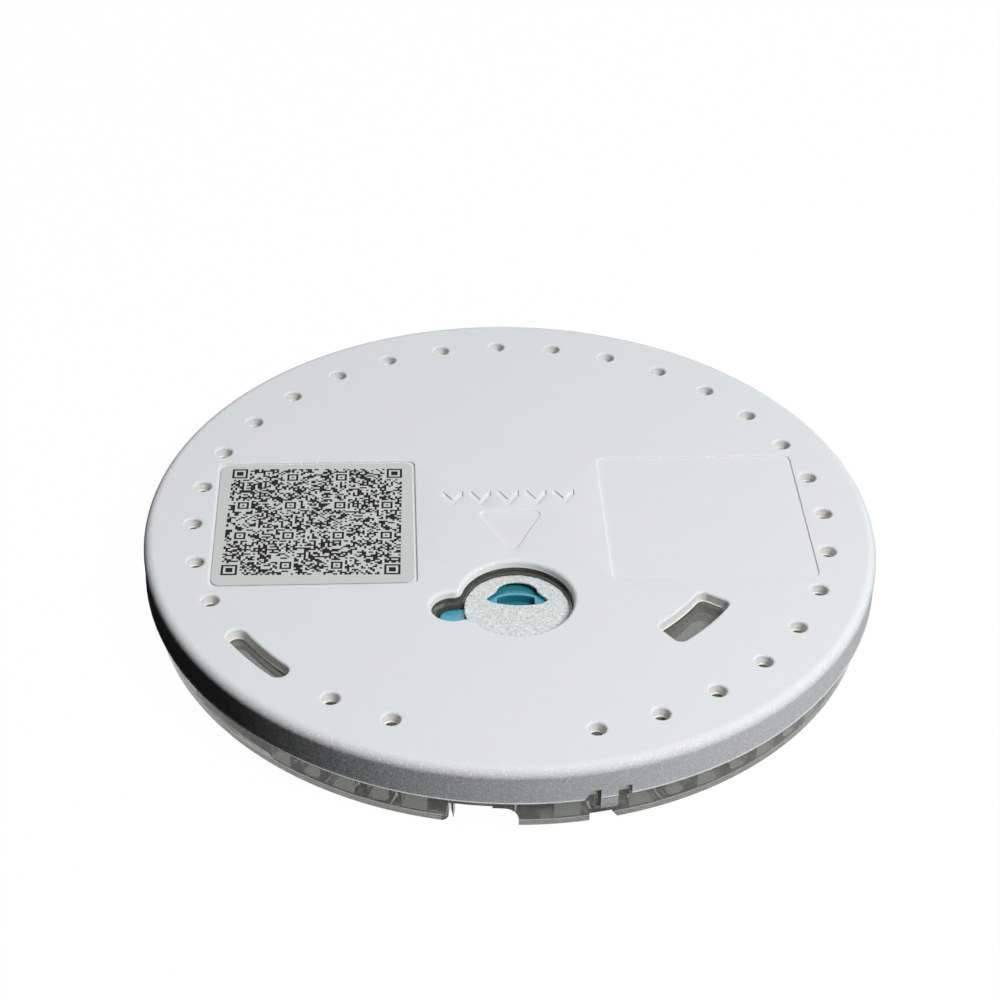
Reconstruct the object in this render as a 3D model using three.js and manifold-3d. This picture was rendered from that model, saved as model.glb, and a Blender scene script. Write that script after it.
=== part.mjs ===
// Single-use reagent disc for a bench blood chemistry analyser.
// A white cover snaps over a clear rotor of two moulded plates. The rotor holds a ring of
// cuvettes with dried reagent beads, and a diluent capsule that is pressed down onto a spike.
// Millimetres, +Z up. The origin is at the middle of the face that the disc rests on, and
// angles run from +X towards +Y. The sample inlet lies towards -Y.

import * as THREE from 'three';
import { mergeVertices } from 'three/addons/utils/BufferGeometryUtils.js';
import Module from 'manifold-3d';

const wasm = await Module();
wasm.setup();

// Overall sizes
const discRadius = 40;
const discHeight = 7.9;
const seatGap = 0.2;
const fitGap = 0.3;
const overrun = 1;

// Counts of faces on round forms
const rimSteps = 64;
const roundSteps = 28;
const holeSteps = 12;
const arcSteps = 8;
const filletSteps = 4;
const cornerSteps = 2;

// Ring of positions, counted from +X
const positions = 32;
const pitch = 360 / positions;
const slotPositions = [19, 20];
const barePositions = [23, 24];
const beadlessPositions = [22, 25, 26];
const yellowPositions = [21, 27];
const rosePositions = [0, 2, 7, 31];
const ringInset = 5.35;
const ringRadius = discRadius - ringInset;

// Cover
const coverPlate = 1.25;
const skirtWall = 1.15;
const skirtHeight = 4.2;
const rimRound = 1.05;
const skirtRadius = discRadius - skirtWall;
const skirtBottom = discHeight - skirtHeight;
const coverUnder = discHeight - coverPlate;
const windowHoleRadius = 0.93;
const windowHoleSoftening = 0.14;
const slotWidth = 2.1;
const slotStartAngle = 213.45;
const slotEndAngle = 224.85;

// Overflow window in the cover
const viewInner = 23.4;
const viewOuter = 27;
const viewStartAngle = 307.2;
const viewEndAngle = 326.1;
const viewCorner = 0.8;

// Sample inlet in the cover, with its side lobe
const inletDistance = 13.73;
const inletRadius = 6.34;
const inletSoftening = 0.2;
const lobeOffset = 6.78;
const lobeDrop = 1.12;
const lobeRadius = 2.28;
const lobeFillet = 0.9;

// Shallow panels and pointer on the cover's face
const panelSize = 22.3;
const panelClearance = 0.24;
const panelCorner = 0.9;
const panelDepth = 0.25;
const panelReach = Math.sqrt((ringRadius - panelClearance) ** 2 - (panelSize / 2) ** 2);
const panelDistance = panelReach - panelSize / 2;
const pointerHalfWidth = 3.9;
const pointerTop = 1.53;
const pointerTip = 6.5;
const pointerCorner = 0.8;
const pointerDepth = 0.2;

// Locking key on the skirt, and the two cuts that let it flex
const keyStartAngle = 279.9;
const keyEndAngle = 282.4;
const keyReach = 1.5;
const keyCorner = 0.23;
const keyCutStartAngle = 278.05;
const keyCutEndAngle = 284.4;
const keyCutRise = 1.1;

// Pins that locate the cover on the rotor
const pinRadius = 0.9;
const pinDistance = 28.2;
const pinEngagement = 2;
const pinAngles = [30, 150, 270];

// Code label
const labelMargin = 0.4;
const labelSize = panelSize - 2 * labelMargin;
const labelCorner = 1;
const labelThickness = 0.12;
const labelGap = 0.05;

// Rotor lid
const lidPlate = 1.1;
const lidTop = coverUnder - seatGap;
const lidUnder = lidTop - lidPlate;
const skirtGap = 0.4;
const rotorRadius = skirtRadius - skirtGap;
const collarWall = 0.26;
const collarHeight = 0.2;
const portLedge = 0.75;

// Inlet disc
const inletDiscRadius = 5.48;
const inletDiscThickness = 0.2;
const inletDiscSink = 1.33;
const inletDiscGap = 0.15;
const inletDiscEdge = 0.06;
const inletDiscTop = discHeight - inletDiscSink;
const domeHalfWidth = 2.02;
const domeHeight = 1.4;
const domeBase = 2.7;
const brimHalfWidth = 3.17;
const brimLine = 1.35;
const brimFootHalfWidth = 2.65;
const brimFootLine = 0.6;
const brimSag = 0.4;
const portTurn = -3.7;

// Rotor base
const baseTop = lidUnder - seatGap;
const baseSetBack = 0.9;
const baseRadius = discRadius - baseSetBack;
const flangeTop = skirtBottom - seatGap;
const edgeChamfer = 0.25;
const slabUnder = 1.2;
const footWidth = 1;
const opticsRecess = 0.25;

// Cuvettes and the pockets between them
const cuvetteWall = 0.9;
const cuvetteLength = 4.3;
const cuvetteWidth = 2.3;
const cuvetteCorner = 0.85;
const cuvetteFloor = 0.75;
const pocketWidth = 2.45;
const pocketLength = 2.6;
const pocketFloor = 0.66;
const longWellFloor = 2;
const cuvetteOuter = rotorRadius - cuvetteWall;
const cuvetteInner = cuvetteOuter - cuvetteLength;

// Channels and chambers in the rotor base
const feedWidth = 0.5;
const feedDepth = 0.4;
const channelWidth = 1;
const channelDepth = 0.9;
const channelInset = 2.7;
const chamberDepth = 2.4;
const chamberCorner = 1.1;
const chamberMargin = 0.6;
const channelRadius = cuvetteInner - channelInset;
const meteringStartAngle = 238;
const meteringEndAngle = 264;
const mixingInner = 13;
const mixingOuter = 25.5;
const mixingStartAngle = 62;
const mixingEndAngle = 118;
const transferRadius = 19;
const transferStartAngle = 118;
const transferEndAngle = 212;

// Index notch in the rotor's rim
const notchStartAngle = 258.45;
const notchStepAngle = 264.7;
const notchEndAngle = 268.5;
const notchDepth = 4.6;
const notchRise = 2.25;
const notchStepRise = 0.25;
const notchCorner = 1.5;
const notchFoot = 0.6;
const finWidth = 0.25;
const finAngle = 258.95;
const finReach = 2.05;
const finDepth = 1.2;
const finTipShare = 0.4;
const keywayMarginAngle = 0.35;
const reliefStartAngle = 278.7;
const reliefEndAngle = 282.9;
const reliefRise = 1;
const reliefRun = 0.67;
const reliefDepth = 1.1;

// Drive socket under the rotor
const socketRadius = 3.2;
const hubWall = 1.5;
const hubRoof = 1.1;
const hubLift = 0.3;
const driveSlotWidth = 1.2;
const driveSlotDepth = 0.8;
const driveSlots = 3;

// Diluent capsule
const capsuleRadius = 7.6;
const capsuleWall = 0.7;
const capsuleTravel = 1;
const capsuleFloor = 0.95;
const stopGap = 0.15;
const slideGap = 0.25;
const bossWall = 1;
const bossFloor = 0.75;
const bayHalfWidth = 1.9;
const bayTop = 1.55;
const padRadius = 1.45;
const padRise = 0.95;
const padLength = 2.6;
const stepHalfWidth = 3.3;
const stepFront = 0.8;
const stepSide = 2.3;
const stepArch = 3.05;
const capsuleTop = lidUnder - seatGap;
const foilThickness = 0.12;
const foilGap = 0.05;
const foilInset = 0.1;
const foilBottom = capsuleFloor + stopGap + capsuleTravel;
const capsuleBottom = foilBottom + foilThickness + foilGap;
const sampleWellWall = 0.7;
const sampleWellFloor = 1.1;
const sampleWellTop = 0.7;
const sampleWellReach = 7.2;

// Spike that bursts the capsule's foil
const spikeRadius = 1;
const spikeTipRadius = 0.15;
const spikeOffset = 4.4;
const spikeHoleGap = 0.25;

// Reagent beads
const beadRadius = 1;
const beadGap = 0.1;
const beadSideGap = 0.25;
const beadDetail = 1;

// Materials
const plastic = (name, color, roughness, opacity = 1) => new THREE.MeshStandardMaterial({
  name, color, roughness, metalness: 0, opacity, transparent: opacity < 1,
});
const materials = {
  cover: plastic('pearl white polystyrene', 0xdfe4e6, 0.32),
  label: plastic('label film', 0xc9cdcb, 0.45),
  clear: plastic('clear acrylic', 0xc3cfc8, 0.08, 0.35),
  frosted: plastic('frosted white film', 0xd8dcdc, 0.4),
  blue: plastic('translucent blue polypropylene', 0x3f9db0, 0.25, 0.85),
  foil: new THREE.MeshStandardMaterial({
    name: 'aluminium foil', color: 0xc8c8c6, roughness: 0.35, metalness: 1,
  }),
  paleBead: plastic('pale dried reagent', 0xe9e4d4, 0.9),
  yellowBead: plastic('yellow dried reagent', 0xd8c43c, 0.9),
  roseBead: plastic('rose dried reagent', 0xc98f8c, 0.9),
};

const radians = THREE.MathUtils.degToRad;

// Solids and booleans

function signedVolume(points, triangles) {
  const corner = [new THREE.Vector3(), new THREE.Vector3(), new THREE.Vector3()];
  let total = 0;
  for (let i = 0; i < triangles.length; i += 3) {
    corner.forEach((vector, k) => vector.fromArray(points, 3 * triangles[i + k]));
    total += corner[0].dot(corner[1].clone().cross(corner[2]));
  }
  return total;
}

// A closed geometry as a boolean solid, with its faces turned outward.
function solid(geometry) {
  geometry.deleteAttribute('normal');
  geometry.deleteAttribute('uv');
  const merged = mergeVertices(geometry);
  const points = merged.attributes.position.array;
  const index = merged.index.array;
  const triangles = [];
  for (let i = 0; i < index.length; i += 3) {
    const [a, b, c] = [index[i], index[i + 1], index[i + 2]];
    if (a !== b && b !== c && c !== a) triangles.push(a, b, c);
  }
  if (signedVolume(points, triangles) < 0) triangles.reverse();
  return new wasm.Manifold(new wasm.Mesh({
    numProp: 3,
    vertProperties: new Float32Array(points),
    triVerts: new Uint32Array(triangles),
  }));
}

function mesh(name, body, material) {
  const { vertProperties, triVerts } = body.getMesh();
  const geometry = new THREE.BufferGeometry();
  geometry.setAttribute('position', new THREE.BufferAttribute(vertProperties, 3));
  geometry.setIndex(new THREE.BufferAttribute(triVerts, 1));
  geometry.computeVertexNormals();
  const result = new THREE.Mesh(geometry, material);
  result.name = name;
  return result;
}

// A profile of [radius, height] points turned about Z, as a geometry.
function turned(profile, steps = rimSteps) {
  const points = profile.map(([r, z]) => new THREE.Vector2(r, z));
  return new THREE.LatheGeometry(points, steps).rotateX(Math.PI / 2);
}

// A shape in plan, standing from one height to another, as a geometry.
function standing(shape, bottom, top, steps = arcSteps) {
  const geometry = new THREE.ExtrudeGeometry(shape, {
    depth: top - bottom, bevelEnabled: false, curveSegments: steps / 2,
  });
  return geometry.translate(0, 0, bottom);
}

// The same as a boolean solid.
function prism(shape, bottom, top, steps) {
  return solid(standing(shape, bottom, top, steps));
}

// A shape drawn across the radius, run outward from one radius to another at an angle.
function acrossRadius(shape, inner, outer, degrees) {
  const turn = new THREE.Matrix4().makeBasis(
    new THREE.Vector3(0, 1, 0), new THREE.Vector3(0, 0, 1), new THREE.Vector3(1, 0, 0));
  return standing(shape, inner, outer, cornerSteps).applyMatrix4(turn).rotateZ(radians(degrees));
}

const at = (geometry, x, y, z = 0) => geometry.translate(x, y, z);

// Plan shapes

function roundedOutline(corners, radius) {
  const shape = new THREE.Shape();
  corners.forEach((corner, i) => {
    const before = corners[(i + corners.length - 1) % corners.length];
    const after = corners[(i + 1) % corners.length];
    const point = new THREE.Vector2(...corner);
    const arrive = new THREE.Vector2(...before).sub(point);
    const leave = new THREE.Vector2(...after).sub(point);
    const half = Math.acos(arrive.dot(leave) / (arrive.length() * leave.length())) / 2;
    const reach = radius / Math.tan(half);
    const start = point.clone().add(arrive.setLength(reach));
    const end = point.clone().add(leave.setLength(reach));
    if (i === 0) shape.moveTo(start.x, start.y);
    else shape.lineTo(start.x, start.y);
    shape.quadraticCurveTo(point.x, point.y, end.x, end.y);
  });
  shape.closePath();
  return shape;
}

function rectangle(width, height, radius, x = 0, y = 0) {
  const [w, h] = [width / 2, height / 2];
  const corners = [[x - w, y - h], [x + w, y - h], [x + w, y + h], [x - w, y + h]];
  if (radius > 0) return roundedOutline(corners, radius);
  return new THREE.Shape(corners.map(([u, v]) => new THREE.Vector2(u, v)));
}

function circle(radius, x = 0, y = 0) {
  return new THREE.Shape().absarc(x, y, radius, 0, 2 * Math.PI, false);
}

// A stretch of ring with rounded corners.
function sector(inner, outer, start, end, corner) {
  const shape = new THREE.Shape();
  const outerTrim = corner / outer;
  const innerTrim = corner / inner;
  const [a, b] = [radians(start), radians(end)];
  const point = (radius, angle) => [radius * Math.cos(angle), radius * Math.sin(angle)];
  shape.moveTo(...point(inner + corner, a));
  shape.lineTo(...point(outer - corner, a));
  shape.quadraticCurveTo(...point(outer, a), ...point(outer, a + outerTrim));
  shape.absarc(0, 0, outer, a + outerTrim, b - outerTrim, false);
  shape.quadraticCurveTo(...point(outer, b), ...point(outer - corner, b));
  shape.lineTo(...point(inner + corner, b));
  shape.quadraticCurveTo(...point(inner, b), ...point(inner, b - innerTrim));
  shape.absarc(0, 0, inner, b - innerTrim, a + innerTrim, true);
  shape.quadraticCurveTo(...point(inner, a), ...point(inner + corner, a));
  return shape;
}

// A slot of even width along the ring, with round ends.
function ringSlot(radius, width, start, end) {
  const half = width / 2;
  const [a, b] = [radians(start), radians(end)];
  const shape = new THREE.Shape();
  shape.absarc(0, 0, radius + half, a, b, false);
  shape.absarc(radius * Math.cos(b), radius * Math.sin(b), half, b, b + Math.PI, false);
  shape.absarc(0, 0, radius - half, b, a, true);
  shape.absarc(radius * Math.cos(a), radius * Math.sin(a), half, a + Math.PI, a + 2 * Math.PI, false);
  return shape;
}

// The round inlet and its lobe, with a fillet in each neck. Grown outward by a margin.
function inletOutline(grow) {
  const big = inletRadius + grow;
  const small = lobeRadius + grow;
  const fillet = lobeFillet - grow;
  const span = Math.hypot(lobeOffset, lobeDrop);
  const towardLobe = Math.atan2(-lobeDrop, -lobeOffset);
  const [reachBig, reachSmall] = [big + fillet, small + fillet];
  const swing = Math.acos((span ** 2 + reachBig ** 2 - reachSmall ** 2) / (2 * span * reachBig));
  const shape = new THREE.Shape();
  const lobe = [-lobeOffset, -inletDistance - lobeDrop];
  const neck = (side) => {
    const angle = towardLobe + side * swing;
    const x = reachBig * Math.cos(angle);
    const y = reachBig * Math.sin(angle) - inletDistance;
    return { x, y, angle, lobeAngle: Math.atan2(y - lobe[1], x - lobe[0]) };
  };
  const [first, last] = [neck(1), neck(-1)];
  shape.absarc(0, -inletDistance, big, first.angle, last.angle, false);
  shape.absarc(last.x, last.y, fillet, last.angle + Math.PI, last.lobeAngle + Math.PI, true);
  shape.absarc(...lobe, small, last.lobeAngle, first.lobeAngle, false);
  shape.absarc(first.x, first.y, fillet, first.lobeAngle + Math.PI, first.angle + Math.PI, true);
  return shape;
}

// The ring of positions

const everyPosition = Array.from({ length: positions }, (_, i) => i);
const isWithout = (i) => slotPositions.includes(i) || barePositions.includes(i);
const cuvettePositions = everyPosition.filter((i) => !isWithout(i));
const beadPositions = cuvettePositions.filter((i) => !beadlessPositions.includes(i));
const pocketPositions = everyPosition.filter((i) => !isWithout(i) || !isWithout(i + 1));
const pinPlaces = pinAngles.map((angle) => [
  pinDistance * Math.cos(radians(angle)),
  pinDistance * Math.sin(radians(angle)),
]);

// Cover

function coverShell() {
  const profile = [
    [0, coverUnder],
    [skirtRadius, coverUnder],
    [skirtRadius, skirtBottom],
    [discRadius, skirtBottom],
  ];
  for (let i = 0; i <= filletSteps; i += 1) {
    const angle = (i / filletSteps) * (Math.PI / 2);
    const reach = rimRound * (1 - Math.cos(angle));
    profile.push([discRadius - reach, discHeight - rimRound + rimRound * Math.sin(angle)]);
  }
  profile.push([0, discHeight]);
  return solid(turned(profile));
}

function windowHole(position) {
  const lip = windowHoleRadius + windowHoleSoftening;
  const profile = [
    [0, coverUnder - overrun],
    [windowHoleRadius, coverUnder - overrun],
    [windowHoleRadius, discHeight - windowHoleSoftening],
    [lip, discHeight],
    [lip, discHeight + overrun],
    [0, discHeight + overrun],
  ];
  return solid(at(turned(profile, holeSteps), ringRadius, 0).rotateZ(radians(position * pitch)));
}

function coverKey() {
  const tab = sector(skirtRadius, discRadius, keyStartAngle, keyEndAngle, keyCorner);
  return prism(tab, skirtBottom - keyReach, skirtBottom + keyCutRise);
}

function topCover() {
  const below = coverUnder - overrun;
  const above = discHeight + overrun;
  const curvedSlot = ringSlot(ringRadius, slotWidth, slotStartAngle, slotEndAngle);
  const overflowView = sector(viewInner, viewOuter, viewStartAngle, viewEndAngle, viewCorner);
  const pointer = roundedOutline(
    [[-pointerHalfWidth, pointerTop], [0, -pointerTip], [pointerHalfWidth, pointerTop]], pointerCorner);
  let cover = coverShell()
    .subtract(prism(curvedSlot, below, above))
    .subtract(prism(overflowView, below, above))
    .subtract(prism(inletOutline(0), below, above, roundSteps))
    .subtract(prism(inletOutline(inletSoftening), discHeight - inletSoftening, above, roundSteps))
    .subtract(prism(pointer, discHeight - pointerDepth, above));
  for (const position of cuvettePositions) cover = cover.subtract(windowHole(position));
  for (const side of [-1, 1]) {
    const panel = rectangle(panelSize, panelSize, panelCorner, side * panelDistance, 0);
    cover = cover.subtract(prism(panel, discHeight - panelDepth, above));
  }
  for (const [start, end] of [[keyCutStartAngle, keyStartAngle], [keyEndAngle, keyCutEndAngle]]) {
    const cut = sector(skirtRadius - overrun, discRadius + overrun, start, end, 0);
    cover = cover.subtract(prism(cut, skirtBottom - overrun, skirtBottom + keyCutRise));
  }
  cover = cover.add(coverKey());
  for (const place of pinPlaces) {
    const pin = circle(pinRadius, ...place);
    cover = cover.add(prism(pin, baseTop - pinEngagement, coverUnder + coverPlate / 2, holeSteps));
  }
  return cover;
}

function codeLabel() {
  const bottom = discHeight - panelDepth + labelGap;
  const film = rectangle(labelSize, labelSize, labelCorner, -panelDistance, 0);
  return prism(film, bottom, bottom + labelThickness);
}

// Inlet disc, with its hat-shaped sample port

function samplePort() {
  const shape = new THREE.Shape();
  shape.moveTo(-brimFootHalfWidth, brimFootLine);
  shape.quadraticCurveTo(0, brimFootLine - 2 * brimSag, brimFootHalfWidth, brimFootLine);
  shape.lineTo(brimHalfWidth, brimLine);
  shape.lineTo(domeHalfWidth, domeBase);
  shape.absellipse(0, domeBase, domeHalfWidth, domeHeight, 0, Math.PI, false, 0);
  shape.lineTo(-brimHalfWidth, brimLine);
  shape.closePath();
  return shape;
}

function inletDisc() {
  const bottom = inletDiscTop - inletDiscThickness;
  const profile = [
    [0, bottom],
    [inletDiscRadius, bottom],
    [inletDiscRadius, inletDiscTop - inletDiscEdge],
    [inletDiscRadius - inletDiscEdge, inletDiscTop],
    [0, inletDiscTop],
  ];
  const port = standing(samplePort(), bottom - overrun, discHeight, holeSteps);
  return solid(at(turned(profile, roundSteps), 0, -inletDistance))
    .subtract(solid(at(port.rotateZ(radians(portTurn)), 0, -inletDistance)));
}

// Diluent capsule

// The capsule's horseshoe outline as a standing body, grown outward by a margin.
function horseshoe(grow, bottom, top) {
  const opening = bay(bayHalfWidth - grow, bottom - overrun, top + overrun);
  return lobedRound(grow, bottom, top).subtract(opening);
}

// The capsule's round body and its lobe, without the bay.
function lobedRound(grow, bottom, top) {
  const round = circle(capsuleRadius + grow, 0, -inletDistance);
  const lobe = circle(lobeRadius + grow, -lobeOffset, -inletDistance - lobeDrop);
  return prism(round, bottom, top, roundSteps).add(prism(lobe, bottom, top, roundSteps));
}

// The bay that leaves room for the sample well: straight sides and a round end.
function bay(half, bottom, top) {
  const shape = new THREE.Shape();
  const end = bayTop - bayHalfWidth - inletDistance;
  const south = -inletDistance - capsuleRadius - lobeRadius;
  shape.moveTo(-half, south);
  shape.lineTo(half, south);
  shape.lineTo(half, end);
  shape.absarc(0, end, half, 0, Math.PI, false);
  shape.closePath();
  return prism(shape, bottom, top, holeSteps);
}

// The press pad runs from the lobe towards the inlet's middle.
function pad(radius, length, bottom, top) {
  const lean = Math.atan2(lobeDrop, lobeOffset);
  const place = (geometry) => at(geometry.rotateZ(lean), -lobeOffset, -inletDistance - lobeDrop);
  const end = solid(place(standing(circle(radius), bottom, top, holeSteps)));
  return end.add(solid(place(standing(rectangle(length, 2 * radius, 0, length / 2, 0), bottom, top))));
}

// The step with an arched back that stands on the capsule under the sample port.
function step(bottom, top) {
  const shape = new THREE.Shape();
  shape.moveTo(-stepHalfWidth, stepFront);
  shape.lineTo(stepHalfWidth, stepFront);
  shape.lineTo(stepHalfWidth, stepSide);
  shape.quadraticCurveTo(0, 2 * stepArch - stepSide, -stepHalfWidth, stepSide);
  shape.closePath();
  return solid(at(standing(shape, bottom, top), 0, -inletDistance))
    .subtract(bay(bayHalfWidth, bottom - overrun, top + overrun));
}

function diluentCapsule() {
  const hollowTop = capsuleTop - capsuleWall;
  const root = hollowTop + capsuleWall / 2;
  const top = capsuleTop + padRise;
  return horseshoe(0, capsuleBottom, capsuleTop)
    .subtract(horseshoe(-capsuleWall, capsuleBottom - overrun, hollowTop))
    .add(pad(padRadius, padLength, root, top))
    .add(step(root, top));
}

function capsuleFoil() {
  const hole = circle(spikeRadius + spikeHoleGap, 0, spikeOffset - inletDistance);
  const sheet = horseshoe(-foilInset, foilBottom, foilBottom + foilThickness);
  return sheet.subtract(prism(hole, foilBottom - overrun, foilBottom + overrun, holeSteps));
}

// Rotor lid

function rotorLid() {
  const below = lidUnder - overrun;
  const above = discHeight;
  const seatRadius = inletDiscRadius + inletDiscGap;
  const ledge = inletDiscTop - inletDiscThickness - inletDiscGap;
  const round = (radius, bottom, top) => (
    prism(circle(radius, 0, -inletDistance), bottom, top, roundSteps)
  );
  const plate = [[0, lidUnder], [rotorRadius, lidUnder], [rotorRadius, lidTop], [0, lidTop]];
  let lid = solid(turned(plate))
    .add(round(seatRadius + collarWall, lidUnder, lidTop + collarHeight))
    .subtract(round(seatRadius, ledge, above))
    .subtract(round(seatRadius - portLedge, below, above))
    .subtract(pad(padRadius + fitGap, padLength + portLedge, below, above));
  for (const place of pinPlaces) {
    const hole = circle(pinRadius + seatGap, ...place);
    lid = lid.subtract(prism(hole, below, above, holeSteps));
  }
  return lid;
}

// Rotor base

function baseBlank() {
  const ringInner = channelRadius + channelWidth;
  const hubRadius = socketRadius + hubWall;
  return solid(turned([
    [0, hubLift],
    [hubRadius, hubLift],
    [hubRadius, slabUnder],
    [ringInner, slabUnder],
    [ringInner, 0],
    [ringInner + footWidth, 0],
    [ringInner + footWidth, opticsRecess],
    [cuvetteOuter, opticsRecess],
    [cuvetteOuter, 0],
    [baseRadius - edgeChamfer, 0],
    [baseRadius, edgeChamfer],
    [baseRadius, flangeTop],
    [rotorRadius, flangeTop],
    [rotorRadius, baseTop],
    [0, baseTop],
  ]));
}

// A well across the radius, with rounded lower corners.
function cuvetteWell(position) {
  const half = cuvetteWidth / 2;
  const low = cuvetteFloor + cuvetteCorner;
  const corner = (x, from) => [x, low, cuvetteCorner, from, from + Math.PI / 2, false];
  const shape = new THREE.Shape();
  shape.moveTo(half, baseTop + overrun);
  shape.lineTo(-half, baseTop + overrun);
  shape.lineTo(-half, low);
  shape.absarc(...corner(cuvetteCorner - half, Math.PI));
  shape.absarc(...corner(half - cuvetteCorner, 1.5 * Math.PI));
  shape.closePath();
  return solid(acrossRadius(shape, cuvetteInner, cuvetteOuter, position * pitch));
}

// A pocket halfway to the next position, which keeps the walls even.
function pocket(position) {
  const top = baseTop + overrun;
  const shape = rectangle(pocketWidth, top - pocketFloor, 0, 0, (top + pocketFloor) / 2);
  const angle = (position + 1 / 2) * pitch;
  return solid(acrossRadius(shape, cuvetteOuter - pocketLength, cuvetteOuter, angle));
}

// The capillary from the ring channel to a cuvette.
function feed(position) {
  const shape = rectangle(feedWidth, feedDepth + overrun, 0, 0, baseTop + (overrun - feedDepth) / 2);
  return solid(acrossRadius(shape, channelRadius, cuvetteInner + feedWidth, position * pitch));
}

// The rim's index notch, its stepped ceiling, rounded corner and rounded foot.
function notch() {
  const inner = rotorRadius - notchDepth;
  const outer = baseRadius + overrun;
  const whole = sector(inner, outer, notchStartAngle, notchEndAngle, 0);
  const stepped = sector(inner, outer, notchStartAngle, notchStepAngle, 0);
  const halfWidth = (radians(notchEndAngle - notchStartAngle) * baseRadius) / 2;
  const corner = new THREE.Shape();
  corner.moveTo(halfWidth, notchRise + overrun);
  corner.lineTo(halfWidth - notchCorner, notchRise + overrun);
  corner.lineTo(halfWidth - notchCorner, notchRise);
  corner.quadraticCurveTo(halfWidth, notchRise, halfWidth, notchRise - notchCorner);
  corner.lineTo(halfWidth + overrun, notchRise - notchCorner);
  corner.lineTo(halfWidth + overrun, notchRise + overrun);
  corner.closePath();
  const middle = (notchStartAngle + notchEndAngle) / 2;
  const foot = new THREE.Shape();
  foot.moveTo(overrun, -overrun);
  foot.lineTo(overrun, notchFoot);
  foot.lineTo(0, notchFoot);
  foot.quadraticCurveTo(0, 0, -notchFoot, 0);
  foot.lineTo(-notchFoot, -overrun);
  foot.closePath();
  return prism(whole, -overrun, notchRise)
    .add(prism(stepped, 0, notchRise + notchStepRise))
    .subtract(solid(acrossRadius(corner, inner - overrun, outer + overrun, middle)))
    .add(solid(acrossRadius(foot, inner, outer, notchStartAngle)));
}

// The thin moulding fin that hangs in the notch.
function notchFin() {
  const top = notchRise + notchStepRise;
  const shape = new THREE.Shape();
  shape.moveTo(-finWidth / 2, top + finWidth);
  shape.lineTo(-finWidth / 2, top - finReach * finTipShare);
  shape.lineTo(finWidth / 2, top - finReach);
  shape.lineTo(finWidth / 2, top + finWidth);
  shape.closePath();
  return solid(acrossRadius(shape, baseRadius - finDepth, baseRadius - edgeChamfer, finAngle));
}

// Room for the cover's key in the flange, and the raised edge beneath it with its sloped end.
function keyway() {
  const outer = baseRadius + overrun;
  const [start, end] = [keyStartAngle - keywayMarginAngle, keyEndAngle + keywayMarginAngle];
  const slot = sector(skirtRadius - fitGap, outer, start, end, 0);
  const half = (radians(reliefEndAngle - reliefStartAngle) * baseRadius) / 2;
  const relief = new THREE.Shape();
  relief.moveTo(-half, -overrun);
  relief.lineTo(half + (overrun * reliefRun) / reliefRise, -overrun);
  relief.lineTo(half - reliefRun, reliefRise);
  relief.lineTo(-half, reliefRise);
  relief.closePath();
  const middle = (reliefStartAngle + reliefEndAngle) / 2;
  return prism(slot, skirtBottom - keyReach - fitGap, flangeTop + overrun)
    .add(solid(acrossRadius(relief, baseRadius - reliefDepth, outer, middle)));
}

// The round socket under the hub, with slots for the spindle's drive keys.
function driveSocket() {
  const top = baseTop - hubRoof;
  const reach = socketRadius + driveSlotDepth;
  let socket = prism(circle(socketRadius), -overrun, top, roundSteps);
  for (let i = 0; i < driveSlots; i += 1) {
    const slot = standing(rectangle(reach, driveSlotWidth, 0, reach / 2, 0), -overrun, top);
    socket = socket.add(solid(slot.rotateZ(Math.PI / 2 + (i * 2 * Math.PI) / driveSlots)));
  }
  return socket;
}

function sampleWell() {
  const half = bayHalfWidth - slideGap - sampleWellWall;
  const length = sampleWellTop + sampleWellReach;
  const middle = (sampleWellTop - sampleWellReach) / 2 - inletDistance;
  return prism(rectangle(2 * half, length, half / 2, 0, middle), sampleWellFloor, baseTop + overrun);
}

function spike() {
  const root = capsuleFloor - bossFloor / 2;
  const tip = foilBottom - stopGap;
  const profile = [
    [0, root],
    [spikeRadius, root],
    [spikeRadius, capsuleFloor],
    [spikeTipRadius, tip],
    [0, tip],
  ];
  return solid(at(turned(profile, holeSteps), 0, spikeOffset - inletDistance));
}

// Chambers and channels open to the top, closed by the lid.
function fluidWays() {
  const open = (shape, depth, steps = holeSteps) => (
    prism(shape, baseTop - depth, baseTop + overrun, steps)
  );
  const inner = viewInner - chamberMargin;
  const outer = viewOuter + chamberMargin;
  const middle = (inner + outer) / 2;
  const chamber = (from, to, start, end) => (
    open(sector(from, to, start, end, chamberCorner), chamberDepth)
  );
  const viewMargin = THREE.MathUtils.radToDeg(chamberMargin / outer);
  const wellEnd = inletDistance + sampleWellReach;
  const outflowLength = channelRadius - mixingOuter + chamberCorner;
  const inflowLength = middle - wellEnd + chamberCorner;
  const firstFeed = (barePositions[1] + 1 - positions) * pitch;
  const lastFeed = (barePositions[0] - 1) * pitch;
  return [
    chamber(inner, outer, viewStartAngle - viewMargin, viewEndAngle + viewMargin),
    chamber(inner, outer, meteringStartAngle, meteringEndAngle),
    chamber(mixingInner, mixingOuter, mixingStartAngle, mixingEndAngle),
    open(ringSlot(middle, feedWidth, meteringEndAngle - pitch, viewStartAngle), channelDepth),
    open(ringSlot(channelRadius, channelWidth, firstFeed, lastFeed), channelDepth, rimSteps),
    open(ringSlot(transferRadius, channelWidth, transferStartAngle, transferEndAngle), channelDepth),
    open(ringSlot(ringRadius, slotWidth, slotStartAngle, slotEndAngle), baseTop - longWellFloor),
    open(rectangle(channelWidth, outflowLength, 0, 0, (channelRadius + mixingOuter) / 2), channelDepth),
    open(rectangle(feedWidth, inflowLength, 0, 0, -(middle + wellEnd) / 2), channelDepth),
  ];
}

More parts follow.
